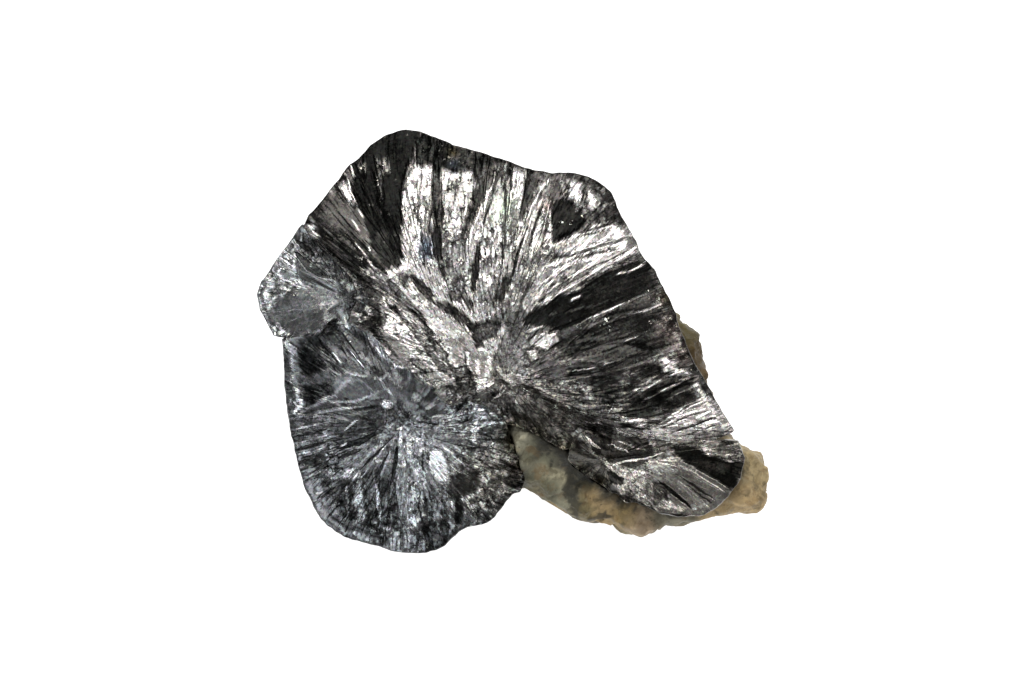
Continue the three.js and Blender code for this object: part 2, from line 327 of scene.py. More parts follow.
# rows from the core outwards, each column a curve
def growTop(form, across, shared, meeting, bends, endX, endY):
    core = form["core"]
    nearX, nearY, farX, farY = bends
    s = np.linspace(0, 1, form["topRows"] + 1)[:, None]
    x = (1 - s) ** 3 * core[0] + 3 * (1 - s) ** 2 * s * nearX + 3 * (1 - s) * s * s * farX + s ** 3 * endX
    y = (1 - s) ** 3 * core[1] + 3 * (1 - s) ** 2 * s * nearY + 3 * (1 - s) * s * s * farY + s ** 3 * endY
    fromRim = np.hypot(x - endX, y - endY)
    z = castHeights(trees[form["node"]], *insideRim(form, x, y, habit["topMargin"]), fromBelow=False)
    z = np.array([closedRing(row, form["baseBlend"]) for row in z])
    for _ in range(habit["evenPasses"]):
        z[1:-1] = (z[:-2] + z[1:-1] * 2 + z[2:]) / 4
    z += (1 - easeIn(fromRim, 0, habit["meetWidth"])) * shared * (meeting - z[-1]) / 2
    u = np.broadcast_to(across, x.shape) + form["seed"] * 100  # no two rosettes read the same noise
    steps = np.hypot(np.diff(x, axis=0), np.diff(y, axis=0))
    v = np.concatenate([np.zeros((1, x.shape[1])), np.cumsum(steps, axis=0)])
    looks, relief = layLeaves(form, x, y, u, v, s)
    relief *= 1 - shared * (1 - easeIn(fromRim, *habit["calmAtMeeting"]))
    # a free rim rolls over a little before the drop
    z += relief - (1 - shared) * habit["rollDrop"] * (1 - easeIn(fromRim, 0, habit["rollReach"]))
    for sunkX, sunkY, sunkReach, sunkDepth in form["sunk"]:
        z -= sunkDepth * mound(x, y, sunkX, sunkY, sunkReach)
    z[0] = z[0].mean()  # every column starts at one point of the core
    return (x, y, z), (u, v), looks


# rows from the rim down the flank and in under it
def growFlank(form, turn, rim, shared, lip, top, u, looks):
    seed, sheet = form["seed"], habit["sheet"]
    t = np.linspace(0, 1, form["sideRows"] + 1)[1:, None]
    profile = np.array([(habit["edgeShare"], 1)] + habit["profile"])
    knots = np.linspace(0, 1, len(profile))
    out, high = np.interp(t, knots, profile[:, 0]), np.interp(t, knots, profile[:, 1])
    out = np.where(high > 0.5, out + (habit["sharedEdge"] - out) * shared, out)
    far = rim * out + lip * easeIn(high, *habit["lip"]["under"])
    x, y = form["centre"][0] + far * np.cos(turn), form["centre"][1] + far * np.sin(turn)
    under = castHeights(trees[form["node"]], *insideRim(form, x, y, habit["underMargin"]), fromBelow=True)
    under = np.array([closedRing(row, habit["underBlend"]) for row in under])
    z = under + (top[2][-1] - under) * high
    wander = softNoise(u / sheet["every"], z * 0, 3) * sheet["wander"]
    sheets = closeRing(softNoise(z / sheet["thick"] + wander, u / sheet["along"], seed))
    tears = enumerate(habit["flankTears"])
    ragged = sum(softNoise(u / along, z / drop, seed + 3 + k) * deep for k, (along, drop, deep) in tears)
    middle, fade = habit["bulge"]
    bulge = (sheets * sheet["out"] + closeRing(ragged)) * np.clip(1 - np.abs(high - middle) / fade, 0, 1)
    x += bulge * np.cos(turn)
    y += bulge * np.sin(turn)
    tones, folds = habit["flankTone"], habit["flankCrumple"]
    fromTop = np.clip(t * habit["rimShare"], 0, 1)
    rimToneAndReflection = closedRing(looks["toneAndReflection"][-1], tones["evened"])
    toneAndReflection = rimToneAndReflection * tones["fromRim"] + tones["own"] + tones["sheets"] * sheets
    toneAndReflection = looks["toneAndReflection"][-1] * (1 - fromTop) + np.clip(toneAndReflection, tones["least"], tones["most"]) * fromTop
    creased = closeRing(softNoise(u / folds["along"], z / folds["down"], seed + 8))
    crumple = folds["mean"] + folds["swing"] * creased
    flankLooks = {
        "toneAndReflection": toneAndReflection, "crumple": crumple, "glintFleck": np.full(x.shape, habit["flankGlintFleck"]),
        "flank": np.broadcast_to(easeIn(t * habit["rimShare"], *habit["flankShare"]), x.shape),
        "spread": np.ones(x.shape), "cast": np.broadcast_to(looks["cast"][-1], x.shape + (4,)),
    }
    return (x, y, z), flankLooks


def growRosette(form):
    turns, reach, rimX, rimY = outlines[form["node"]]
    sides = np.hypot(np.diff(rimX, append=rimX[:1]), np.diff(rimY, append=rimY[:1]))
    arc = np.concatenate([[0], np.cumsum(sides)])
    across = np.arange(form["columns"] + 1) / form["columns"] * arc[-1]  # millimetres round the rim
    turn = np.interp(across, arc, np.append(turns, wholeTurn))
    rim = np.interp(across, arc, np.append(reach, reach[:1]))
    rim, shared, meeting, lip, endX, endY = growRim(form, across, turn, rim)
    bends = ribPoints(form, turns, arc, across)
    top, (u, v), topLooks = growTop(form, across, shared, meeting, bends, endX, endY)
    side, sideLooks = growFlank(form, turn, rim, shared, lip, top, u[-1], topLooks)
    steps = np.sqrt(sum(np.diff(np.vstack([a[-1:], b]), axis=0) ** 2 for a, b in zip(top, side)))
    u = np.vstack([u, np.broadcast_to(u[-1], steps.shape)])
    v = np.vstack([v, v[-1] + np.cumsum(steps, axis=0)])
    looks = {key: np.vstack([values, sideLooks[key]]) for key, values in topLooks.items()}
    return gridPiece(form["name"], *(np.vstack(pair) for pair in zip(top, side)), looks, u, v)


# a grid of quads, bent to the places given and closed into one skin
def gridPiece(name, x, y, z, looks, u, v):
    rows, columns = x.shape[0] - 1, x.shape[1] - 1
    bm = bmesh.new()
    bmesh.ops.create_grid(bm, x_segments=columns, y_segments=rows, size=1)
    mesh = bpy.data.meshes.new(name)
    bm.to_mesh(mesh)
    bm.free()
    flat = np.empty(len(mesh.vertices) * 3)
    mesh.vertices.foreach_get("co", flat)
    flat = flat.reshape(-1, 3)
    column = np.rint((flat[:, 0] + 1) / 2 * columns).astype(int)
    row = np.rint((flat[:, 1] + 1) / 2 * rows).astype(int)
    places = np.stack([x[row, column], y[row, column], z[row, column]], axis=1)
    mesh.vertices.foreach_set("co", (places * mm).ravel())
    paintPoints(mesh, {key: values[row, column] for key, values in looks.items()})
    corner = np.empty(len(mesh.loops), np.int32)
    mesh.loops.foreach_get("vertex_index", corner)
    growth = np.stack([u[row, column][corner], v[row, column][corner]], axis=1)
    mesh.uv_layers.new(name="growth").data.foreach_set("uv", growth.ravel().astype(np.float32))
    bm = bmesh.new()
    bm.from_mesh(mesh)
    bmesh.ops.remove_doubles(bm, verts=bm.verts, dist=2e-8)
    bmesh.ops.recalc_face_normals(bm, faces=bm.faces)
    for face in bm.faces:
        face.smooth = True
    bm.to_mesh(mesh)
    bm.free()
    return addPiece(name, mesh)


def paintPoints(mesh, looks):
    for key, values in looks.items():
        colour = values.ndim == 2
        layer = mesh.attributes.new(key, "FLOAT_COLOR" if colour else "FLOAT", "POINT")
        layer.data.foreach_set("color" if colour else "value", values.astype(np.float32).ravel())


def addPiece(name, mesh):
    piece = bpy.data.objects.new(name, mesh)
    bpy.context.collection.objects.link(piece)
    return piece


# each patch and streak over the ones before it: tone, crumple, how far it lifts; the tone is the leaf's own
# grey together with painted reflection, bright where a leaf would catch the lights and dark where it would
# face away from them
def markLeaves(form, x, y, px, py):
    gain, level = form["patchLift"], leafLay["levelTone"]
    wobble = [
        [softNoise(x / size, y / size, form["seed"] + 90 + k + lag) * form["fuzz"] for lag in (0, 0.5)]
        for k, size in enumerate(leafLay["fuzzAcross"])
    ]
    toneAndReflection, lift = np.full(x.shape, form["toneAndReflection"]), np.zeros(x.shape)
    crumple = np.full(x.shape, leafLay["plainCrumple"])
    for patchToneAndReflection, patchCrumple, corners in everyPatch:
        lowX, lowY = np.min(corners, axis=0) - leafLay["patchRoom"]
        highX, highY = np.max(corners, axis=0) + leafLay["patchRoom"]
        close = (x > lowX) & (x < highX) & (y > lowY) & (y < highY)
        if not close.any():
            continue
        hits = [insidePatch(px[close] + wx[close], py[close] + wy[close], corners) for wx, wy in wobble]
        share = np.mean(hits, axis=0)
        toneAndReflection[close] += share * (patchToneAndReflection - toneAndReflection[close])
        crumple[close] += share * (patchCrumple - crumple[close])
        lift[close] += share * (gain * (patchToneAndReflection - level) - lift[close])
    loose = leafLay["streakLoose"]
    for streakToneAndReflection, width, path in everyStreak:
        inside = insideStreak(x * (1 - loose) + px * loose, y * (1 - loose) + py * loose, path, width)
        toneAndReflection[inside] = streakToneAndReflection
        lift[inside] += gain * (streakToneAndReflection - level) * leafLay["streakLift"]
    return toneAndReflection, crumple, lift


def layLeaves(form, x, y, u, v, s):  # what each point of the top looks like, and its relief
    seed = form["seed"]
    alongX, alongY = np.gradient(x, axis=0), np.gradient(y, axis=0)
    length = np.hypot(alongX, alongY) + 1e-9
    alongX, alongY = alongX / length, alongY / length
    # a column's width beside its width at the rim: blades that crowd into the core lose their own marks
    spread = np.clip(np.hypot(np.gradient(x, axis=1), np.gradient(y, axis=1)) / (u[0, 1] - u[0, 0]), 0, 1)
    apart = easeIn(spread, *leafLay["crowded"])
    # a ragged hand: shapes are read a little off place, more along the growth than across it
    slide = sum(softNoise(u / a, v / b, seed + k) * far for k, (a, b, far) in enumerate(leafLay["slide"]))
    (a, b, far), (c, d, farther) = leafLay["shift"]
    shift = closeRing(softNoise(u / a, v / b, seed + 2) * far + softNoise(x / c, y / d, seed + 3) * farther)
    less, start, end = leafLay["calmRim"]
    slide = closeRing(slide * apart * (1 - less * easeIn(s, start, end)))
    px, py = x + alongX * slide - alongY * shift, y + alongY * slide + alongX * shift
    toneAndReflection, crumple, lift = markLeaves(form, x, y, px, py)
    # mosaics of leaves, each tipped its own way, the bright ones to the key light
    plain = leafLay["unmarked"]
    # an unmarked sheet shows no blades
    marked = plain + (1 - plain) * easeIn(crumple, *leafLay["markedFrom"])
    relief = lift.copy()
    lean = (toneAndReflection - leafLay["facingTone"]) * leafLay["leanGain"]
    lightX, lightY = math.sin(math.radians(leafLay["lightTurn"])), math.cos(
        math.radians(leafLay["lightTurn"])
    )
    leanU, leanV = lean * (lightX * alongY - lightY * alongX), lean * (lightX * alongX + lightY * alongY)
    room = np.clip(s, leafLay["coreRoom"], 1)
    bendU, bendV, byU, byV = leafLay["bend"]
    most, crumpled, least, toned, topTone = leafLay["swing"]
    for k, (sizeU, sizeV, swing, tip, step) in enumerate(form["mosaics"]):
        bentU = u + softNoise(u / (sizeU * bendU), v / (sizeV * bendV), seed + 10 + k) * sizeU * byU
        bentV = v + softNoise(u / sizeU, v / sizeV, seed + 20 + k) * sizeV * byV
        cell, du, dv = nearestSeed(bentU, bentV, sizeU, sizeV, seed + 30 + 7 * k)
        height, turned = hashedCell(cell, k, seed + 41) - 0.5, hashedCell(cell, k, seed + 43, 7919) - 0.5
        relief += apart * marked * (step * height + tip * turned * 2 * du * room)
        if k > 0:
            relief += apart * marked * (-leanU * du * room - leanV * dv * 0.5)
        swing = swing * (most - crumpled * crumple) * (least + toned * np.clip(toneAndReflection, 0, topTone))
        toneAndReflection = toneAndReflection + apart * marked * swing * (cell - 0.5) * 2
    # crumpled foil where growth has no direction, as at the core
    gain, offset = leafLay["foilFrom"]
    for size, tip, swing in form["foil"]:
        bent = x + leafLay["foilBend"] * size * softNoise(x / size, y / size, seed + 5)
        cell, dx, dy = nearestSeed(bent, y, size, size, seed + 60)
        turned = hashedCell(cell, 3, seed + 41) - 0.5
        amount = np.maximum(np.clip(crumple * gain - offset, 0, 1), (1 - apart) * (marked - plain))
        facing = lean * (lightX * dx + lightY * dy) * leafLay["foilLean"]
        relief += amount * tip * ((cell - 0.5) * dx + turned * dy - facing)
        toneAndReflection = toneAndReflection + amount * swing * (cell - 0.5) * 2 * np.clip(toneAndReflection * 2, leafLay["foilLeast"], 1)
    # painted glints: clouds of grains that stand on end, painted bright, and a scatter of them through the
    # crumpled foil
    many, start, end = leafLay["grains"]
    glintFleck = many * easeIn(crumple, start, end)
    least, more, full = leafLay["chip"]
    for k, (cx, cy) in enumerate(everyGlintChip):
        reach = least + more * hashed(k, 2, 2)
        glintFleck = np.maximum(glintFleck, 1 - easeIn(np.hypot(px - cx, py - cy), reach * full, reach))
    cast = np.broadcast_to(np.array(linear(form["cast"])), x.shape + (4,)).copy()
    for colour, reach, cx, cy in hues:
        cast += mound(px, py, cx, cy, reach)[..., None] * (np.array(linear(colour)) - cast)
    looks = {
        "toneAndReflection": np.clip(closeRing(toneAndReflection), leafLay["darkest"], 1), "crumple": crumple, "glintFleck": glintFleck,
        "flank": np.zeros(x.shape), "spread": spread, "cast": cast,
    }
    return looks, closeRing(relief)


# mosaics of leaves: across, along, swing of tone, tip, step
mosaics = [(2.8, 12, 0.07, 0.06, 0.4), (1.4, 4.5, 0.08, 0.08, 0.14), (0.6, 1.5, 0.06, 0.08, 0.05)]
foil = [(2.4, 0.22, 0.10), (1.2, 0.23, 0.10), (0.6, 0.18, 0.08)]  # across, tip, swing of tone
# tarnish and stains that tint the foil here and there: colour, reach, place
hues = [
    ("#F6DDA0", 0.9, -8.4, 26.5), ("#CFDDF6", 0.9, -8.2, 25.1), ("#C6D6F0", 1.0, -12.1, 13.6),
    ("#C6D6F0", 0.9, -12, 12.2), ("#FFECE4", 0.9, 4.9, 19.2), ("#FFEEE6", 2.2, 22.3, 1.6),
    ("#FFEEE6", 1.8, 24.4, -1.8), ("#FFF3CC", 1.1, 21.8, 6.3), ("#F2FFEC", 2.0, -1, 18.8),
    ("#FFFCF2", 5, -3.5, -19.5), ("#FFFAEE", 3, 6, -10.5), ("#C6C2A8", 1.8, 0.2, -12.4),
    ("#C6C2A8", 1.6, 0.2, -15), ("#BDB3A2", 1.7, 1, -18), ("#C6C2A8", 1.6, 3.6, -13),
    ("#C6C2A8", 1.6, 7.4, -14.8), ("#BDB9A0", 1.6, 9.8, -17.6), ("#C6C2A8", 1.3, 12.4, -19.9),
]

mainRosette = {
    "name": "main_rosette_leaves", "node": "main_rosette", "centre": (-2, -4), "core": (-1, -5.5),
    "seed": 3, "columns": 1100, "topRows": 70, "sideRows": 18, "ribBlend": 8, "baseBlend": 36,
    "toneAndReflection": 0.35, "fuzz": 0.12, "cast": "#FFFDF9", "patchLift": 0.9,
    "mosaics": mosaics, "foil": foil,
    # where the rim sinks into the stone: place, reach, depth
    "sunk": [(0.4, -11.6, 1.6, 1.6), (3, -12.8, 2.2, 2.2), (6.8, -14.5, 2.2, 2.4)],
    # rim point, then the two plan points that bend the rib on its way out
    "ribs": [
        [(31, -12.4), (8, -11), (22, -14)], [(29.3, -9), (7, -10), (18, -13.4)],
        [(27.6, -5.8), (5, -8.5), (14, -11)], [(25.6, -2.2), (4, -7), (10, -8)],
        [(24, 1.5), (3, -5), (7, -4.2)], [(21.4, 7.6), (2, -3), (5, 1.5)], [(20.3, 10), (1, -2), (3.5, 3)],
        [(17, 15.3), (0, 0), (4.5, 8)], [(15.3, 18.2), (-0.5, 1), (4.5, 11)],
        [(14.2, 21), (-1, 2), (4.2, 13)], [(11.8, 23.1), (-1, 3), (3.5, 13)], [(8, 24), (-1.2, 3), (2, 12)],
        [(4, 24.2), (-1.5, 3), (-0.5, 9)], [(0.5, 25.3), (-2, 3), (-3, 9)], [(-4, 26.7), (-3, 2), (-7, 8)],
        [(-8.2, 27.7), (-4, 1), (-11, 8)], [(-11.5, 29.4), (-5, 0), (-14.5, 8.5)],
        [(-15, 30.2), (-6, -0.5), (-17, 9)], [(-20, 27.6), (-7, -0.5), (-18, 11)],
        [(-24.6, 23), (-8, 0), (-17.5, 10.5)], [(-27, 19.8), (-8.5, 0.5), (-17, 9)],
        [(-29.5, 16.3), (-8.8, 0.5), (-17.5, 8.5)], [(-26, 13.2), (-9, 0), (-17.5, 7.5)],
        [(-23, 9.8), (-7.6, -0.8), (-16.6, 7)], [(-21.6, 6), (-7.6, -1.6), (-15.2, 4.5)],
        [(-23, 3), (-7.8, -2.8), (-14.5, 1.4)], [(-17, -2.2), (-6.5, -4.8), (-12, -2.2)],
        [(-13.5, -5.2), (-5, -4.8), (-9, -4)], [(-10.5, -7.2), (-4, -5.5), (-7, -5.8)],
        [(-6, -8.6), (-2.5, -6.2), (-4, -7.2)], [(-3, -9.6), (-1.6, -7), (-2.2, -8.2)],
        [(1, -11.6), (-0.5, -7.5), (0.2, -9.5)], [(4.4, -13.3), (1, -8), (2.8, -10.5)],
        [(8.6, -14.8), (3, -8.8), (6, -11.5)], [(10.5, -12.6), (4, -9), (7.5, -11)],
        [(15, -13.2), (6, -9.8), (10.5, -11.8)], [(20, -14.3), (8, -10.6), (15, -12.8)],
        [(26, -13.8), (9, -11), (19, -13.8)],
    ],
    # in every rosette the tones of the patches and streaks are painted reflection as well as the leaf's own
    # grey: leaves set bright where they would catch the lights, near black where they would face away
    "patches": [
        # broad fields
        (0.18, 0.14, [(-30, 16), (-27, 20), (-22.5, 25), (-20, 20), (-16, 11), (-9, 3), (-20, 1), (-23, 3),
            (-21.6, 6), (-23, 9.8), (-26, 13.2)]),
        (0.54, 0.8, [(-15.6, 25.2), (-10, 24.5), (-5, 24), (0, 25), (4, 24), (6, 14), (1.5, 5), (-2, 0),
            (-8, 4), (-15.5, 11)]),
        (0.8, 0.9, [(-19, 9), (-15.5, 11.5), (-9, 10), (-5, 6), (-1.5, 0), (-2.5, -6), (-6, -8),
            (-13.5, -5), (-18.5, 0.3), (-19, 4)]),
        (0.27, 0.6, [(3, 24.5), (8, 24.3), (12, 23.3), (14.5, 21), (15.5, 18), (16, 15.5), (8, 13),
            (3, 14)]),
        (0.24, 0.2, [(1.5, 2), (9, 2.3), (15.5, 5.3), (21, 8), (22.8, 6), (24.5, 2), (25.5, -2), (27.5, -5),
            (29, -9), (19, -12.5), (15, -8.5), (10, -6), (4, -5), (1.5, -2)]),
        (0.26, 0.8, [(-0.5, -6), (4, -5), (10, -6), (15, -8.5), (19.5, -12.5), (15, -14.2), (10, -13.4),
            (4.5, -14.2), (0.5, -12), (-3, -9.9), (-6, -9.2)]),
        (0.44, 0.8, [(-2.5, -1.5), (1.5, -1), (2.5, -5), (0, -6.5), (-2.5, -5)]),
        (0.42, 0.9, [(-1.5, 4), (1.5, 5), (2, 2), (2.5, -1), (-0.5, -1)]),
        (0.14, 0.12, [(5.2, 1.2), (9, 0.4), (13, 2.2), (18, 4), (20, 3.6), (20.4, 0.4), (20.6, -2.2),
            (15, -3), (9, -2.6), (6, -1)]),
        (0.1, 0.3, [(9.4, 1.6), (11.6, 1.5), (11.4, -0.2), (9.6, -0.4)]),
        (0.12, 0.25, [(12.2, 3.2), (16.4, 5.2), (17.2, 4.6), (13.2, 2.6)]),
        (0.09, 0.3, [(8, -3.7), (11, -3.6), (11.2, -4.8), (8.2, -5.1)]),
        (0.09, 0.3, [(11, -4.9), (14.6, -5), (14.8, -8.2), (11.6, -7.9)]),
        (0.14, 0.2, [(13.6, -2.9), (17.4, -2.4), (20, -2.6), (17, -3.6), (13.6, -4.2)]),
        (0.09, 0.15, [(15.5, -10), (18, -9.6), (22, -7.6), (22.6, -8.4), (19, -10.8), (16.5, -11.2)]),
        (0.22, 0.6, [(19.8, 8.2), (21.4, 8), (23.6, 4.4), (23, 3.6), (20.6, 4)]),
        # leaf painted near black for the dark that it reflects, on the upper left, and what lies beside it
        (0.03, 0.08, [(-22.5, 25.2), (-22.3, 20), (-20.5, 16), (-19.5, 13), (-16.5, 11.5), (-15.7, 13),
            (-15.5, 21), (-14.5, 25), (-13.4, 28.6), (-12.5, 31), (-16, 31), (-21.5, 27.5)]),
        (0.09, 0.3, [(-19.8, 15.2), (-15.8, 15.5), (-15.6, 10.5), (-18.5, 10.5)]),
        (0.78, 0.8, [(-24.6, 22.2), (-23.2, 23), (-22, 20.3), (-22, 19.3), (-23, 19.5)]),
        (0.22, 1.0, [(-21.9, 25.2), (-20.6, 25.4), (-20.4, 24), (-21.6, 23.7)]),
        (0.24, 1.0, [(-19.6, 25.6), (-17.4, 25.7), (-17.2, 24), (-18.8, 23.4)]),
        (0.15, 0.9, [(-19.4, 23.4), (-18.2, 23.6), (-18, 20), (-18.8, 19.6)]),
        (0.16, 0.1, [(-27.3, 20.2), (-25, 20.6), (-22.5, 18), (-20.5, 15), (-25, 15.2), (-27.5, 16.5)]),
        (0.1, 0.5, [(-26.6, 16), (-25, 15.8), (-22.8, 15.4), (-20.9, 13.6), (-18.8, 10.8), (-17.4, 9.4),
            (-19.4, 8.4), (-20.8, 9), (-22.5, 11), (-24.5, 13.3), (-26, 14.3)]),
        (0.8, 0.7, [(-30.4, 15.4), (-28.8, 16.4), (-27.4, 15), (-27.6, 13.4), (-29, 12.8)]),
        # dark rough band along the top rim
        (0.07, 0.97, [(-14, 29.3), (-10, 29.5), (-4, 27.4), (0.5, 26), (4.2, 24.8), (3, 23.2), (-3, 23),
            (-5.5, 24.2), (-10.8, 24), (-13.4, 25.2)]),
        (0.14, 0.95, [(-9.2, 26.8), (-7.2, 26.8), (-7.2, 25.4), (-9.2, 25.4)]),
        # bright leaves of the top
        (0.72, 0.8, [(-14.6, 25.2), (-11, 24.6), (-10.9, 21.5), (-12, 19), (-12.4, 15), (-13, 11),
            (-15.6, 10.5), (-15.5, 15), (-15, 20)]),
        (0.2, 0.4, [(-11, 23.6), (-10, 23.4), (-9.7, 20), (-10, 15), (-9.9, 11.5), (-10.8, 11.5),
            (-11.8, 16), (-11.2, 20)]),
        (0.3, 0.3, [(-12.7, 15), (-11.5, 14.8), (-11.3, 11.6), (-12.3, 11.2)]),
        (0.48, 0.9, [(-10, 24), (-5.3, 23.8), (-5.4, 19), (-6.6, 15), (-6.5, 9), (-7, 5), (-10.2, 6),
            (-9.8, 15)]),
        (0.74, 0.7, [(-9.6, 23.9), (-5.4, 23.8), (-5.6, 22.9), (-9.4, 22.7)]),
        (0.16, 0.3, [(-5.6, 24.2), (-2.2, 25.2), (-2.9, 22), (-4.3, 19.5), (-6.2, 15), (-7, 15.2),
            (-5.5, 19.5), (-4.6, 22)]),
        (0.82, 0.6, [(-3, 20.5), (-3.8, 17.5), (-4.5, 14), (-4.4, 11), (-6.5, 11), (-6.6, 14.5),
            (-5, 17.6)]),
        (0.14, 0.2, [(-4.2, 14.3), (-4.8, 10), (-5.2, 7), (-5.9, 7.2), (-5.6, 10), (-5.1, 13.8)]),
        (0.36, 0.5, [(-2.6, 25.4), (-0.3, 25.3), (-0.3, 20.5), (-2.6, 20.3)]),
        (0.46, 0.35, [(-2.6, 20.6), (0.1, 20.6), (0.3, 17), (-1, 16), (-3, 17)]),
        (0.84, 0.5, [(-0.4, 20.5), (0.1, 24.2), (1.8, 24.4), (2.5, 22), (1.3, 18.5), (-0.9, 16)]),
        (0.74, 0.8, [(-3.2, 15.5), (-0.2, 15), (0.2, 9), (-2.8, 8.6)]),
        (0.55, 0.6, [(2, 21), (5.6, 20), (5.7, 12.5), (2.4, 12)]),
        (0.2, 0.2, [(2.2, 24), (3.8, 23.4), (2.6, 20), (1.2, 16.6), (0.9, 17), (1.6, 20)]),
        (0.22, 0.3, [(0.2, 9.6), (-0.9, 9), (-2.6, 5.4), (-1.4, 5.2)]),
        # the small nodule on the upper right
        (0.21, 0.7, [(3, 25), (8, 24.8), (12.4, 23.6), (15, 21), (16, 18), (15, 18.4), (13.6, 20.8),
            (11.4, 22.3), (8, 23.3), (3.2, 23.5)]),
        (0.18, 0.3, [(5, 23.2), (6.9, 23.2), (6.8, 20.3), (5.4, 20)]),
        (0.78, 0.7, [(8.1, 22.6), (10.1, 22.7), (9.5, 19.3), (7.9, 20.3)]),
        (0.82, 0.7, [(10.1, 20.7), (11, 21.7), (12.5, 20.1), (12.4, 18.4), (11, 18.6)]),
        (0.21, 0.7, [(12.5, 21.4), (14.4, 20.4), (15.3, 17), (13, 17.2)]),
        (0.03, 0.25, [(6.3, 20.1), (8, 19.9), (9.6, 18.5), (10.6, 17), (10, 15.9), (8.5, 15.6), (8.2, 13.9),
            (5.9, 13.8), (5.7, 17.5)]),
        # the bright band right of it
        (0.78, 0.45, [(5.3, 13.2), (8.2, 12), (17.2, 14.9), (17, 15.9), (14.6, 16.6), (11.5, 15.9),
            (8.5, 14.6), (6, 14)]),
        (0.7, 0.4, [(1.3, 5.2), (2, 3.9), (5.5, 5.6), (10, 8.4), (13, 10.4), (17.4, 12.2), (18, 13.4),
            (17.2, 14.8), (8.3, 11.8), (4, 10.5)]),
        (0.46, 0.5, [(2.6, 5.2), (5, 5.9), (10, 8.8), (13.4, 11), (9.6, 10.2), (5.4, 7.6)]),
        # wedge painted near black for the dark that it reflects
        (0.1, 0.09, [(1.3, 2.7), (2.2, 3.6), (5.5, 5.4), (7, 6.4), (9.7, 7), (11, 8.2), (13, 9.5),
            (18, 11.6), (20.3, 11), (22, 8), (19, 6.7), (15.5, 5.3), (13, 4.2), (9, 2.3), (6.5, 1.5),
            (4, 2.1)]),
        (0.26, 0.9, [(19.7, 11.5), (22, 8), (23.5, 4.5), (25, 1.5), (26.3, -2.4), (24.3, -2.4), (22.4, 0.5),
            (20.6, 3.6), (20, 8)]),
        # the dark field and its white flakes, which are painted highlights
        (0.92, 0.6, [(2.4, 0.3), (4, 1.1), (6.4, 1.2), (6.7, 0), (5, -1.4), (3, -1.1)]),
        (0.85, 0.6, [(2, -1.4), (3.2, -1.3), (3.8, -2.4), (2.8, -3)]),
        (0.13, 0.2, [(16.2, -0.1), (19.2, -0.2), (19, -2.2), (16.6, -2)]),
        (0.13, 0.2, [(11.3, -5.4), (15.2, -5.3), (15.2, -8.2), (12, -7.6)]),
        (0.12, 0.2, [(17.6, -3.6), (22.4, -3.4), (22, -5.4), (18, -5.2)]),
        (0.95, 0.4, [(21.2, -2.6), (23.4, -2.4), (23.2, -4), (21.6, -4.2)]),
        (0.9, 0.4, [(22.6, -3.8), (25.2, -3.8), (24.8, -4.8), (22.8, -4.7)]),
        (0.08, 0.1, [(16, -9.6), (18.8, -7.3), (23, -5.8), (25.6, -5.2), (25.4, -6.2), (20.2, -8.8)]),
        (0.16, 0.2, [(18.6, -11.2), (20.5, -9.2), (24.5, -6.8), (25.6, -8.2), (22, -10.2)]),
        # the bright streaky band on the lower right, a painted highlight
        (0.97, 0.4, [(18.8, -12.7), (22, -11), (25.8, -8.7), (27.9, -7.5), (29.4, -9.6), (31, -12),
            (30, -12.8), (23, -14.5), (20.3, -13.6)]),
        (0.8, 0.7, [(25.4, -5.7), (26.8, -6.8), (28, -8.6), (26.4, -7.8)]),
        (0.62, 0.9, [(10.4, -11.3), (12.6, -11.5), (12.8, -13.8), (10.6, -13.4)]),
        (0.66, 0.9, [(15.4, -10.6), (18.8, -10.9), (18.6, -12.1), (15.6, -12)]),
        (0.45, 0.5, [(24.5, -14.6), (25.5, -12.9), (31.8, -12.2), (32, -14)]),
        (0.17, 0.8, [(10.4, -11.6), (14.2, -11.6), (14.4, -13.8), (10.4, -13.8)]),
        (0.1, 0.3, [(15.2, -11.5), (17.3, -11.5), (17, -12.2), (15.4, -12.2)]),
        (0.55, 0.5, [(14.8, -12.2), (16.8, -12.2), (16.8, -14), (14.8, -13.8)]),
        (0.6, 1.0, [(17, -12.4), (20.2, -12.6), (20, -14.8), (17, -14.4)]),
        # the crumpled middle: dark bands that run between bright folds
        (0.36, 1.0, [(-22.6, 9.4), (-20.4, 10.6), (-18.2, 9), (-18.4, 4), (-18.6, 0.8), (-20.4, 0.8),
            (-21.8, 3), (-21, 6)]),
        (0.33, 0.9, [(-20, 11), (-18.4, 10), (-15, 6.6), (-12.8, 3.8), (-10.8, 0.3), (-8.8, -2.7),
            (-7.4, -4.4), (-8.8, -5.2), (-10.6, -3.5), (-12.6, -0.7), (-14.8, 2.3), (-17, 4.6),
            (-19.8, 8.4)]),
        (0.2, 0.9, [(-14.6, 9.6), (-13.2, 9), (-8.8, 5.3), (-5.4, 2.8), (-5.4, 1.5), (-9.2, 3.9),
            (-12.4, 6.3)]),
        (0.3, 0.8, [(-7.9, 7.7), (-6.6, 7.2), (-4.6, 4.4), (-5.7, 4.1)]),
        (0.2, 0.8, [(-5.4, 2.5), (-3.4, 2.9), (-1.4, 2.9), (-1.6, 2), (-3, 0.6), (-4.6, -0.7),
            (-5.5, 0.4)]),
        (0.33, 1.0, [(-8.6, -4), (-6.4, -3.2), (-5.2, -5), (-4.8, -8.6), (-6.6, -8.6), (-7.8, -6.2)]),
        (0.66, 0.9, [(-14.2, -1.8), (-12.6, -2), (-11.2, -4.4), (-12.2, -5.6), (-13.6, -4)]),
        (0.97, 0.55, [(-18.4, 1.6), (-17.2, 1.4), (-14.2, -1.2), (-14.4, -2.4), (-15.6, -2.6),
            (-17.4, -1.1)]),
        (0.97, 0.55, [(-12.9, 5.2), (-11.4, 5.6), (-9.2, 3.7), (-8.2, 2), (-9.2, 0.9), (-10.6, 0.9),
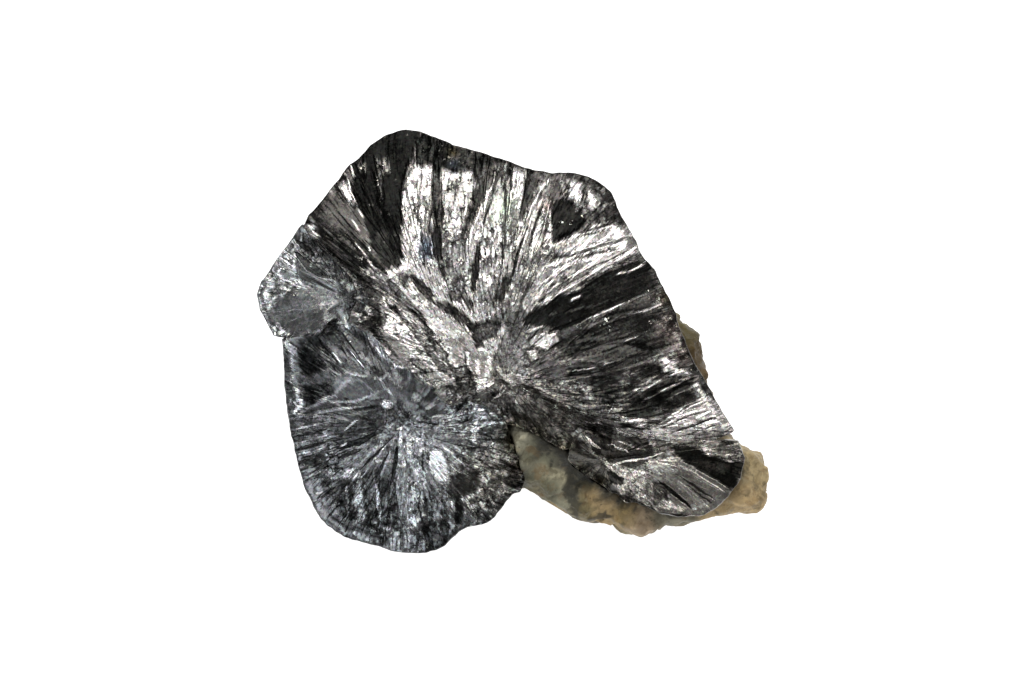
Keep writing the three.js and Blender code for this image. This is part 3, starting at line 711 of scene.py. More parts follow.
            (-12.2, 3)]),
        (0.94, 0.7, [(-9.9, 3.2), (-7.5, 2.6), (-5.4, 0), (-5.5, -3.6), (-8, -3), (-9.8, 0)]),
        (0.36, 0.8, [(-15.6, 9.6), (-14, 9.6), (-14.2, 7.4), (-15.4, 7.6)]),
        (0.88, 0.6, [(-11.6, 8.2), (-9, 8), (-8.4, 5.2), (-11, 5.6)]),
        (0.9, 0.6, [(-5.5, 6.2), (-4, 6), (-4, 4.1), (-5.4, 4.3)]),
        (0.62, 0.8, [(-5.6, 6.4), (-3.6, 6), (-3.6, 3.4), (-5, 3.4)]),
        (0.2, 0.5, [(-5.2, 1.4), (-4, 1.2), (-4, -1.1), (-5.1, -1)]),
        (0.3, 0.5, [(-4.5, 1.6), (-2.2, 1.4), (-2.3, 0.3), (-4.4, 0.2)]),
        (0.86, 0.5, [(-4.1, -1.4), (-3.6, -1.6), (-2.9, -5.6), (-4.8, -5.2)]),
        (0.4, 0.8, [(-2.2, -2), (2, -2), (2, -6), (-1.8, -6)]),
        (0.84, 0.7, [(-11.2, -4.9), (-8, -5), (-7.8, -6.2), (-10.6, -6.5)]),
        (0.42, 1.0, [(-10.4, -6.2), (-7.4, -6.4), (-5.2, -8.2), (-8, -8.8)]),
    ],
    "streaks": [
        (0.78, 0.5, [(-22.7, 24.9), (-22.3, 23.2)]), (0.35, 0.25, [(-18.5, 19), (-18.5, 17.5)]),
        (0.55, 0.3, [(-21.6, 18.6), (-21, 17.4)]), (0.5, 0.3, [(-22.6, 17.2), (-21.6, 15.6)]),
        (0.12, 0.4, [(-26.8, 16.4), (-25, 15)]),
        (0.5, 0.25, [(-22.8, 14.8), (-21, 12.4), (-19.6, 10.4), (-18.6, 9)]),
        (0.8, 0.28, [(-11.8, -0.6), (-9, -3.5)]), (0.7, 0.25, [(-14.4, 3.6), (-12, 0.6)]),
        (0.62, 0.3, [(-16.4, 5.2), (-13, 1.2)]), (0.7, 0.35, [(-28.5, 17.6), (-28, 15.5)]),
        (0.12, 0.5, [(-30.7, 14.4), (-28.3, 12.6)]), (0.13, 1.0, [(-30.5, 12.5), (-28.5, 10.5), (-26, 9)]),
        (0.7, 0.35, [(-11.3, 17.2), (-11.3, 15.4)]), (0.9, 0.4, [(-7, 16.4), (-6.2, 19), (-5.1, 19.4)]),
        (0.12, 0.3, [(-2.6, 20.2), (-4.5, 15.4)]), (0.92, 0.6, [(-4, 19.6), (-5.6, 15.8), (-6, 12)]),
        (0.9, 0.5, [(5.1, 22.6), (3.8, 21), (2.8, 19), (1.4, 14.8)]),
        (0.14, 0.45, [(2.5, 16.2), (1.6, 14.5), (0.8, 12), (0.3, 10), (-0.3, 8)]),
        (0.93, 0.45, [(0.4, 8.6), (1.2, 12), (2, 15), (2.7, 17)]),
        (0.2, 0.3, [(4.4, 20), (3.2, 16), (2.4, 12.6)]), (0.86, 0.35, [(5.4, 20), (4.4, 16), (3, 12)]),
        (0.25, 0.3, [(5.2, 18), (4.4, 14.5)]), (0.2, 0.25, [(-1.4, 14.6), (-1.2, 11.8), (-1.6, 9.6)]),
        (0.22, 0.25, [(-2.4, 13.4), (-2.2, 10.6)]), (0.45, 0.5, [(6.9, 23.4), (7.4, 20.4)]),
        (0.25, 0.3, [(10.6, 21.8), (10.2, 18.6)]), (0.9, 0.35, [(8.4, 14.8), (12, 15.6)]),
        (0.86, 0.3, [(11.4, 16.1), (13.6, 16.8)]), (0.14, 0.35, [(9, 14.8), (13, 15.6)]),
        (0.86, 0.4, [(5.8, 13.3), (8.3, 14.7)]), (0.15, 0.4, [(8.3, 11.6), (15.2, 13.1)]),
        (0.15, 0.25, [(10, 10.2), (14, 11.6), (17, 13)]), (0.95, 0.5, [(8.4, 12.4), (13, 14), (17, 15.2)]),
        (0.95, 0.4, [(3.4, 7.6), (8, 10.6), (13, 12)]), (0.94, 0.4, [(2.4, 5), (7, 8.4), (11.5, 10.8)]),
        (0.22, 0.25, [(6, 10.4), (11, 12.2)]), (0.2, 0.25, [(5, 7.6), (9.6, 10)]),
        (0.2, 0.25, [(6.4, 7.2), (11.4, 10)]), (0.92, 0.4, [(8.2, 5.7), (9.6, 6.3)]),
        (0.85, 0.3, [(14.5, 9.4), (17, 10), (19, 11.3)]), (0.5, 0.25, [(9.6, 2.6), (13, 4.2), (15.7, 5.4)]),
        (0.75, 0.3, [(17.2, 4.1), (19, 4.4), (21, 5.1)]), (0.9, 0.4, [(2, 1.4), (4.3, 2.1)]),
        (0.7, 0.2, [(8.6, -4.2), (11.4, -3.7)]), (0.7, 0.2, [(12.9, -3.3), (14.9, -2.8)]),
        (0.75, 0.2, [(15.9, 0.1), (17.4, 0.6)]), (0.5, 0.25, [(15.2, -8.4), (20.7, -4.7)]),
        (0.55, 0.2, [(15.6, -8.5), (21.6, -5.1)]), (0.5, 0.2, [(18, -8.6), (23.7, -5.9)]),
        (0.6, 0.22, [(20.4, -7.4), (24.7, -5.3)]), (0.9, 0.45, [(22.2, -10.7), (25.5, -9)]),
        (0.25, 0.3, [(20.4, -12.4), (26, -10)]), (0.2, 0.3, [(21.4, -13.2), (28.6, -10.8)]),
        (0.25, 0.25, [(23, -13.6), (29.4, -11.6)]), (0.96, 0.4, [(20, -12.2), (25, -10.2), (28.4, -9.4)]),
        (0.9, 0.25, [(15.7, -11.3), (18.5, -11.2)]), (0.8, 0.4, [(-5.6, -9.5), (-3.7, -9.6)]),
        (0.85, 0.4, [(-6.2, -8.5), (-5.6, -8.7)]), (0.8, 0.35, [(-2.9, -8.4), (-1.1, -6.9)]),
        (0.14, 0.5, [(-6.1, -7.8), (-6.9, -8.8), (-7.8, -10)]),
        (0.15, 0.3, [(-14.7, 5), (-12.5, 2.8), (-10.8, 0.9)]), (0.15, 0.3, [(-14.8, 1.3), (-13.9, 0.2)]),
        (0.15, 0.3, [(-17.1, 5), (-15.2, 2.9)]), (0.13, 0.35, [(-14.1, 9.1), (-11.5, 6.8), (-10.4, 5.9)]),
        (0.15, 0.35, [(-17.7, 8.6), (-15.6, 5.5)]), (0.8, 0.35, [(-15.6, -2), (-12, -5)]),
        (0.75, 0.3, [(-14.8, -1), (-11.4, -3.8)]), (0.15, 0.3, [(-14.4, -2.8), (-11.8, -4.8)]),
        (0.88, 0.4, [(-2, 0.6), (-2.2, -1.9)]), (0.9, 0.5, [(-4.2, -1.4), (-4.7, -5)]),
        (0.95, 0.5, [(-3, -2.4), (-3.3, -5.6)]), (0.15, 0.3, [(-6.7, -0.9), (-6.3, -4), (-5.4, -6.2)]),
        (0.7, 0.3, [(-6.1, -1), (-5.7, -4), (-4.9, -6)]), (0.2, 0.5, [(-1.9, -5.4), (-0.4, -6.1)]),
        (0.2, 0.5, [(1.4, -3.4), (3.1, -3.7)]), (0.12, 0.4, [(9, -6.6), (10.6, -7.6)]),
    ],
    # where clouds of grains are painted bright as glints
    "chips": [
        (-18.2, 24.7), (-21, 24.5), (-18.9, 22.4), (-21.8, 13.2), (-20.2, 13), (-20.4, 11.2), (-21.4, 11.6),
        (-19.2, 9.6), (-19.6, 6.6), (-20.6, 4.2), (-18.2, 9.3), (-18.7, 7.5), (9.2, 18.6), (10.1, 17.8),
        (9.9, 19.2), (14.5, 19.5), (15, 18.5), (13.2, 18.5), (7.1, 17.2), (8.2, 16.7), (9.2, 1.8),
        (12.7, 3.4), (13.4, 3.1), (12.5, 2.4), (19.7, 2.8), (20.7, 1.9), (20.2, 1), (18.9, 1.4),
        (23.1, 2.4), (7.8, -9.1), (6.2, -9.2), (1.7, -7), (2.2, -7.1), (13.9, -9.2), (15.2, -9.2),
        (13.3, -9.7), (11, -12.9), (-1.8, -9.4), (26, -6.4), (27.3, -7.6), (18.8, 6.8), (19.6, 6.4),
        (22.4, 3.2), (23.7, 0.4), (24.1, -1.4), (25.4, -3.9), (21.9, 5), (12.8, 2.4), (13.9, 1.8),
        (16.8, 5.8), (20.2, 4.9),
    ],
}
lowerRosette = {
    "name": "lower_rosette_leaves", "node": "lower_rosette", "centre": (-14.6, -12.6),
    "core": (-15.7, -12.5),
    "seed": 5, "columns": 980, "topRows": 72, "sideRows": 18, "ribBlend": 8, "baseBlend": 60,
    "toneAndReflection": 0.37, "fuzz": 0.28, "cast": "#F4FAFF", "patchLift": 0.8,
    "mosaics": mosaics, "foil": foil,
    "sunk": [(0.2, -13, 1.8, 1.0), (0.4, -16, 1.8, 1.2), (1.2, -19, 1.8, 1.6)],
    "ribs": [],
    "patches": [
        (0.27, 0.08, [(-32, 1.6), (-20, 2), (-15.6, -3.6), (-15.7, -12.5), (-25, -10.5), (-32.5, -10)]),
        (0.4, 0.9, [(-12.2, -9.4), (-9, -8.4), (-6, -8.8), (-2, -10.4), (-1.6, -13.4), (-7, -13),
            (-12.4, -12.4)]),
        (0.48, 0.9, [(-6, -10), (0, -10.5), (2.5, -19), (-1, -24.5), (-6.4, -26.6), (-5, -20)]),
        (0.4, 0.5, [(-33, -1), (-30.6, -0.8), (-30.2, -9), (-31.4, -12), (-33, -12)]),
        (0.08, 0.3, [(-29.9, 1), (-26.9, 1), (-26.6, -3), (-27, -4.2), (-29.5, -4.8), (-30.4, -1.5)]),
        (0.12, 0.3, [(-30.1, -6.3), (-25.9, -5.8), (-25.7, -7.3), (-28.5, -9)]),
        (0.36, 0.04, [(-25.5, -4.5), (-18, -4.5), (-17.4, -8), (-25, -8.5)]),
        (0.25, 0.2, [(-25.6, -10.3), (-19, -10.3), (-16.8, -12.1), (-19, -12.8), (-26, -13.2)]),
        (0.36, 0.35, [(-32.5, -11), (-26.5, -10.5), (-26, -16), (-28, -19.5), (-31.5, -18)]),
        (0.41, 0.3, [(-15.9, -12.9), (-22.6, -17.1), (-22.1, -18.9), (-17.2, -17.8)]),
        (0.14, 0.3, [(-29.7, -16.3), (-27.8, -16.1), (-27.8, -17.6), (-29.5, -17.8)]),
        (0.25, 0.9, [(-29, -20), (-21, -18.4), (-16.6, -20), (-16.2, -27), (-20.5, -27.4), (-25, -25.6),
            (-28, -22.4)]),
        (0.5, 1.0, [(-26.8, -15.2), (-24.6, -15.6), (-24.2, -19.6), (-26.4, -19.8)]),
        (0.5, 1.0, [(-24.2, -17.8), (-21.3, -18.2), (-21.3, -20.8), (-24, -20.6)]),
        (0.24, 0.8, [(-21.4, -19.8), (-17.1, -19.8), (-16.6, -25.8), (-21, -26)]),
        (0.22, 0.8, [(-24.8, -19.6), (-22.6, -19.8), (-22.3, -25.2), (-24.6, -25)]),
        (0.42, 0.6, [(-22.6, -20.6), (-21, -20.6), (-20.8, -25.6), (-22.3, -25.6)]),
        (0.52, 1.0, [(-15, -12), (-12.4, -12), (-12.1, -19), (-12.4, -26.4), (-14.9, -26.4)]),
        (0.54, 0.5, [(-16.1, -13.6), (-15.2, -13.6), (-14.8, -25.2), (-16.3, -25.2)]),
        (0.46, 0.4, [(-21, 0.7), (-19, 1.4), (-15.6, -2.8), (-17.2, -4)]),
        (0.16, 0.3, [(-20.4, -3.2), (-19.1, -3.3), (-19.1, -4.3), (-20.3, -4.3)]),
        (0.4, 0.02, [(-16.3, -3.5), (-13, -5.3), (-9.4, -8.2), (-9.4, -10.9), (-14, -11.6), (-16, -9)]),
        (0.44, 1.0, [(-18.2, -10.4), (-16, -9.6), (-13, -10.2), (-12.2, -12), (-13, -13.6), (-15, -13),
            (-17.4, -13.2)]),
        (0.16, 0.8, [(-12.5, -10.4), (-11.5, -10.3), (-11.5, -11.2), (-12.5, -11.2)]),
        (0.92, 0.4, [(-18.5, -8.5), (-17, -8.6), (-16.9, -9.5), (-18.2, -9.7)]),
        (0.95, 0.1, [(-11.8, -15.2), (-10, -15.4), (-9, -17), (-8.8, -20), (-10.2, -20.2), (-11, -18.8),
            (-11.8, -17.4)]),
        (0.36, 0.15, [(-10.5, -12.2), (-7.4, -12.2), (-7.4, -14.8), (-10.3, -14.8)]),
        (0.2, 0.12, [(-8.8, -19), (-4.8, -18.4), (-4.2, -20.4), (-6, -22.4), (-8.8, -22.6)]),
        (0.55, 1.0, [(-6.8, -22), (-4.4, -21.4), (-3.9, -23.6), (-5.6, -24.8), (-6.8, -24.4)]),
        (0.13, 0.3, [(-6.2, -18.3), (-4.6, -18.4), (-4.7, -20.1), (-6.1, -20.1)]),
        (0.08, 0.2, [(-8.3, -21.9), (-7, -22), (-6.9, -25.9), (-8.1, -25.8)]),
        (0.45, 0.4, [(-9, -22.8), (-8.3, -22.8), (-8, -26.8), (-9, -26.8)]),
        (0.2, 0.7, [(-13, -26), (-9.2, -25), (-8.8, -28.6), (-12, -30)]),
        (0.36, 0.3, [(-29.6, -18.6), (-27.6, -19.4), (-25.4, -23.2), (-22.6, -25.8), (-18.6, -27.4),
            (-14.6, -28.4), (-14.6, -29.6), (-19.6, -28.6), (-23.8, -27), (-26.6, -24.2), (-28.8, -20)]),
        (0.44, 0.06, [(-30.6, -19.4), (-28.6, -19.8), (-26.4, -24), (-23.6, -26.8), (-19.6, -28.4),
            (-14.6, -29.6), (-15, -31.2), (-20.4, -30.4), (-25.2, -28.6), (-28.6, -24.8)]),
        (0.52, 0.9, [(-0.8, -16.6), (0.9, -16.6), (1.5, -19.6), (0, -21), (-1.2, -19)]),
        (0.36, 1.0, [(-2, -11.4), (0.4, -11.4), (2.2, -19), (0.6, -21.4), (-1, -24), (-3, -25.6),
            (-4.4, -25), (-2.6, -21), (-1.8, -16)]),
        # soft sheets on the upper left
        (0.2, 0.3, [(-27, 1.6), (-21, 1.4), (-19.5, -2), (-21.4, -4.6), (-25, -4.4), (-27, -2)]),
        (0.27, 0.08, [(-26, -0.8), (-25, -0.8), (-21, -3.2), (-20, -4.6), (-21, -4.8), (-24.6, -3)]),
        (0.27, 0.08, [(-23.2, -0.9), (-18.2, -2.4), (-16.2, -3.6), (-17, -4.1), (-20.2, -3.4),
            (-23, -1.8)]),
        (0.22, 0.1, [(-20.8, -3.4), (-17.6, -4.2), (-18.6, -5.1), (-20, -4.8)]),
        (0.26, 0.05, [(-24.8, -6.8), (-21.4, -5.6), (-19.8, -7.2), (-22, -8.4), (-24.8, -8.4)]),
        (0.31, 0.02, [(-17.6, -4.3), (-16.2, -3.3), (-13, -5.2), (-9.4, -8.2), (-9.2, -10.6),
            (-12.4, -10.4), (-14.6, -10.2), (-16.4, -8.6), (-17.6, -6.4)]),
    ],
    "streaks": [
        (0.6, 0.6, [(-31.4, -1.8), (-31.2, -3.7)]),
        (0.8, 0.5, [(-30.4, -6.6), (-29.8, -9), (-31.4, -10.5)]), (0.13, 0.7, [(-23.1, -8), (-24.1, -9.6)]),
        (0.14, 0.6, [(-22.2, -9.7), (-18.8, -9.2)]), (0.95, 0.28, [(-23.8, -12.6), (-22, -11.1)]),
        (0.92, 0.28, [(-22.8, -1.6), (-20.7, -3.8)]), (0.85, 0.25, [(-25.6, -1.5), (-24.1, -3.1)]),
        (0.2, 0.7, [(-26.4, -14.1), (-20, -12.3)]),
        (0.14, 0.8, [(-25.4, -15.1), (-22, -14.3), (-18.3, -12.6)]),
        (0.13, 0.7, [(-24.3, -16.4), (-21.2, -15.2)]), (0.62, 0.35, [(-31.6, -12.6), (-26.4, -11.4)]),
        (0.18, 0.4, [(-31.2, -13.6), (-26.2, -12.4)]), (0.6, 0.35, [(-31.2, -14.5), (-26, -13.2)]),
        (0.16, 0.45, [(-31, -15.4), (-26.4, -14.2)]), (0.6, 0.3, [(-30.6, -16), (-26, -14.9)]),
        (0.2, 0.4, [(-30.4, -18.4), (-26.8, -17.2)]), (0.58, 0.35, [(-30, -19.4), (-26.6, -18.2)]),
        (0.12, 0.25, [(-21.2, -17.9), (-16.6, -13.2)]), (0.95, 0.5, [(-15.7, -12.2), (-15.7, -15.2)]),
        (0.12, 0.6, [(-16.2, -14.8), (-16.9, -19.8)]), (0.54, 0.5, [(-16.6, -13.8), (-18.7, -19.4)]),
        (0.14, 0.35, [(-17.4, -15.6), (-19.2, -19.4)]), (0.6, 0.35, [(-17.4, -14.2), (-21.4, -19.4)]),
        (0.6, 0.5, [(-19.2, -20), (-18.6, -25.4)]), (0.55, 0.35, [(-23.4, -20.4), (-23.2, -24.8)]),
        (0.6, 0.3, [(-22.6, -25.4), (-16, -28.4)]), (0.16, 0.35, [(-22.4, -26.2), (-16.6, -28.8)]),
        (0.66, 0.25, [(-21, -25.2), (-15.4, -27.6)]), (0.18, 0.3, [(-26, -24.6), (-22, -27)]),
        (0.26, 0.22, [(-26.2, -25.2), (-23.4, -27.6), (-19.8, -29.2)]),
        (0.58, 0.22, [(-24.6, -25.8), (-20.6, -28), (-16, -29)]),
        (0.6, 0.4, [(-18.8, -5.2), (-16.9, -7.6)]), (0.9, 0.35, [(-16.6, -3.5), (-15.2, -3.7)]),
        (0.15, 0.35, [(-12.5, -15.3), (-12.7, -18.2)]), (0.6, 0.35, [(-9.6, -14.9), (-6.4, -17.6)]),
        (0.2, 0.3, [(-9, -14.9), (-5.8, -17.2)]), (0.55, 0.3, [(-8.4, -14.6), (-5, -16.9)]),
        (0.88, 0.35, [(-8.5, -22.5), (-8, -24.2)]), (0.9, 0.4, [(-24.6, -14.9), (-23.4, -14.3)]),
        (0.5, 0.3, [(-13.8, -13.6), (-11.4, -14.6)]), (0.2, 0.3, [(-13.6, -11.4), (-10.4, -11.7)]),
        (0.55, 0.45, [(-20, -0.2), (-17.7, -2.5)]),
        (0.48, 0.5, [(-29.8, -9.9), (-25.6, -7.8), (-23.3, -5.5), (-21.5, -4.3)]),
        (0.52, 0.4, [(-25.6, -8.7), (-22.1, -8.4), (-19.5, -7.5), (-17.7, -6.6)]),
        (0.48, 0.45, [(-31.5, -11), (-27.1, -9.9), (-24.2, -9.6), (-20.4, -9.1)]),
    ],
    "chips": [
        (-13.9, -29.1), (-12.3, -29), (-14.3, -25.8), (-14.4, -23.7), (-10.7, -21.5), (-8.2, -12.5),
        (-6.7, -22.4), (-5.6, -24.2), (-3.8, -20.7), (-13.6, -13.6), (-13.2, -16.6), (-14, -19.4),
        (-13.4, -21.6), (-2.6, -14.6), (-3.4, -17.2), (-25.4, -17), (-26, -18.6),
    ],
}
leftFan = {
    "name": "left_fan_leaves", "node": "left_fan", "centre": (-26.5, 6.6), "core": (-22.6, 6.2),
    "seed": 7, "columns": 560, "topRows": 54, "sideRows": 16, "ribBlend": 6, "baseBlend": 20,
    "toneAndReflection": 0.42, "fuzz": 0.3, "cast": "#F8FDFF", "patchLift": 0.6,
    "mosaics": mosaics, "foil": foil,
    "sunk": [],
    "ribs": [],
    "patches": [
        (0.38, 0.05, [(-37, 14), (-29.5, 16.3), (-26, 13.2), (-23, 9.8), (-21.6, 6), (-23, 3), (-30, 0.5),
            (-34, -1)]),
        (0.19, 0.8, [(-29.6, 15.4), (-26, 13.6), (-22.4, 10.4), (-20.6, 8.2), (-22.6, 7.4), (-25, 8.6),
            (-28, 10.8), (-30.2, 12.8)]),
        (0.58, 0.5, [(-36.4, 9.4), (-31, 9.4), (-28.8, 7.6), (-29.4, 5.4), (-36.4, 4.6)]),
        (0.78, 0.7, [(-33.9, 10.4), (-32.4, 13), (-30.6, 12.2), (-30.4, 9), (-33, 8.4)]),
        (0.42, 0.03, [(-33.4, 6.2), (-30, 7.6), (-23, 8.4), (-21.8, 4), (-25, 2), (-33, 1)]),
        (0.55, 0.7, [(-34.6, 2.6), (-32, 1.6), (-31.4, -0.4), (-33.4, -0.6)]),
        (0.28, 0.5, [(-24.4, 8.4), (-21, 8.4), (-20.4, 5.5), (-21.2, 3.4), (-23.8, 4), (-24.6, 6)]),
        (0.12, 0.6, [(-26.9, 2.2), (-25, 3.2), (-24.3, 2.4), (-25, 0.8), (-26.9, 0.5)]),
    ],
    "streaks": [
        (0.13, 0.6, [(-30.7, 14.3), (-28.3, 12.7)]),
        (0.13, 1.1, [(-30.6, 12.6), (-28.5, 10.5), (-25.8, 8.9)]),
        (0.15, 0.6, [(-26.8, 1.4), (-24.8, 2.1)]), (0.78, 0.4, [(-23.8, 3.7), (-23.2, 1.8)]),
        (0.75, 0.35, [(-22.6, 4.1), (-21.4, 3.5)]), (0.75, 0.35, [(-21.4, 2.7), (-20.6, 3.6)]),
        (0.4, 0.3, [(-28.6, 10.4), (-27.4, 13)]), (0.3, 0.5, [(-29.6, 9.4), (-25, 7)]),
        (0.46, 0.5, [(-31.6, 4.4), (-26, 5.2)]), (0.12, 0.7, [(-20.1, 2.1), (-18.9, 0.6)]),
        (0.12, 0.6, [(-18.8, 3.9), (-18.2, 3.1)]),
    ],
    "chips": [(-33, 0.8), (-32.2, 0.2), (-31.8, -0.5), (-22.8, 0), (-34.6, 7.4), (-33.2, 7.9), (-31.6, 7.2),
        (-34.2, 5.9), (-30.4, 6.6)],
}
rightFan = {
    "name": "right_fan_leaves", "node": "right_fan", "centre": (22, -18.6), "core": (13.4, -16.9),
    "seed": 11, "columns": 660, "topRows": 60, "sideRows": 16, "ribBlend": 6, "baseBlend": 20,
    "toneAndReflection": 0.42, "fuzz": 0.15, "cast": "#FFFBF2", "patchLift": 0.6,
    "mosaics": mosaics, "foil": foil,
    "sunk": [(9, -17, 2.0, 2.2), (11.6, -19.2, 2.0, 2.4), (15, -21.6, 1.8, 1.6)],
    "ribs": [
        [(31.8, -14), (18, -15.8), (25, -14.8)], [(32.9, -16.5), (18, -16.4), (25, -15.8)],
        [(32.5, -19.3), (18, -16.8), (25.5, -16.4)], [(30.6, -22), (18, -17), (24, -17.6)],
        [(28.4, -24), (17.5, -17.4), (22.5, -19.2)], [(25.8, -25), (17, -17.8), (21, -20.5)],
        [(22.5, -24.6), (16.5, -18), (19.5, -21)], [(19, -23.4), (15.5, -18.2), (17.5, -21)],
        [(15.2, -21.6), (14.2, -18), (14.8, -19.8)], [(11.5, -19.2), (12.8, -17.6), (12.2, -18.4)],
        [(8.8, -17.2), (12, -17), (10.5, -17.1)], [(10.5, -12.6), (12.8, -15.8), (11.6, -14.4)],
        [(15, -13.2), (13.8, -15.8), (14.4, -14.5)], [(20, -14.3), (15.6, -16), (17.8, -15)],
        [(26, -13.8), (17, -15.9), (21.5, -14.8)],
    ],
    "patches": [
        (0.56, 0.07, [(19.5, -17), (23.5, -16.4), (29, -19.4), (31.6, -21.6), (28, -25), (21.4, -25.4),
            (19, -22)]),
        (0.17, 0.12, [(10.6, -13), (19, -13.6), (20.2, -16), (17.6, -17.9), (14, -17.2), (11.2, -15.2)]),
        (0.11, 0.08, [(22.4, -14.7), (26, -15), (29.8, -16.7), (31.8, -18.4), (32, -20.6), (30.6, -20.8),
            (27.6, -18.8), (24, -16.7)]),
        (0.08, 0.1, [(30.2, -16.8), (33, -17), (33, -19.4), (30.6, -19.2)]),
        (0.9, 0.6, [(27, -14.2), (29.2, -14), (29.2, -15.8), (27.6, -16.2)]),
        (0.3, 0.3, [(20, -19.8), (22, -20.2), (22.2, -23.2), (20, -23)]),
        (0.58, 1.0, [(15.4, -18), (19.6, -18.4), (19.8, -22.6), (15.6, -21)]),
        (0.12, 0.5, [(13.6, -18.3), (15.9, -18.8), (15.8, -20.2), (13.8, -20)]),
        (0.25, 0.35, [(7.6, -13.4), (10.2, -13.6), (11.2, -15.6), (13.2, -17.4), (13.6, -19.4),
            (15.4, -21.6), (14.6, -22.4), (9, -18.6), (7.4, -16)]),
    ],
    "streaks": [
        (0.8, 0.4, [(10.5, -13.3), (11.2, -14.3), (12.5, -15.1)]),
        (0.85, 0.28, [(30.2, -15), (31.8, -14.4)]), (0.85, 0.25, [(30.1, -16.3), (31.7, -16)]),
        (0.85, 0.25, [(30.1, -16.9), (31.3, -16.9)]),
        (0.56, 0.7, [(21.3, -17.2), (24, -18.5), (28.2, -21.2)]), (0.7, 0.5, [(21.2, -20), (22.9, -21.3)]),
        (0.7, 0.35, [(13.4, -17.9), (15.8, -16.9), (19.7, -16.4), (21.3, -15.7)]),
        (0.1, 0.6, [(20.6, -19.6), (23, -21.6), (25.4, -23.6)]), (0.9, 0.6, [(21.2, -22.4), (23.4, -23.8)]),
        (0.92, 0.45, [(25.4, -21.9), (26.4, -23.1)]),
        (0.8, 0.45, [(13.1, -17.3), (15, -18.6), (17.2, -19.8)]),
        (0.16, 0.9, [(13.3, -19.8), (15, -21.8), (18.5, -23.3), (20.5, -24.5), (27, -25.2)]),
        (0.72, 0.4, [(24, -17.6), (30, -21.4)]), (0.22, 0.4, [(23.4, -18.8), (28.6, -22.4)]),
        (0.68, 0.5, [(23, -19.6), (28, -23.6)]), (0.62, 0.3, [(20.4, -18), (24.4, -21.6)]),
        (0.2, 0.25, [(24.6, -20.2), (28.4, -23)]), (0.6, 0.3, [(13.6, -14.4), (16.6, -15.6)]),
        (0.45, 0.25, [(15, -14), (19, -15.4)]),
    ],
    "chips": [
        (21.3, -22.9), (22.2, -23.4), (23, -23.8), (24.3, -24.5), (27.3, -23.5), (28.3, -23.2),
        (28.5, -21.8), (29.5, -22), (32.2, -18.5), (16.6, -19.2), (17.8, -20.6), (18.6, -19.4), (16.9, -21),
        (19, -21.8),
    ],
}
rosettes = (mainRosette, lowerRosette, leftFan, rightFan)
trees = {form["node"]: treeOf(form["node"]) for form in rosettes}
outlines = {form["node"]: outlineOf(form["node"], form["centre"]) for form in rosettes}
# the ribs of these two run nearly straight, so they are set out evenly
# how many, how long, and their bends as shares of the way out
evenCount, evenReach, evenShares = 16, 9, (1, 0.4, 0.8)
for fan in (lowerRosette, leftFan):
    coreX, coreY = fan["core"]
    for k in range(evenCount):
        turn = wholeTurn * k / evenCount
        outX = fan["centre"][0] + evenReach * math.cos(turn) - coreX
        outY = fan["centre"][1] + evenReach * math.sin(turn) - coreY
        fan["ribs"].append([(coreX + outX * share, coreY + outY * share) for share in evenShares])
# a leaf that crosses a growth boundary is laid on both sides of it
everyPatch = [leaf for form in rosettes for leaf in form["patches"]]
everyStreak = [leaf for form in rosettes for leaf in form["streaks"]]
everyGlintChip = [chip for form in rosettes for chip in form["chips"]]

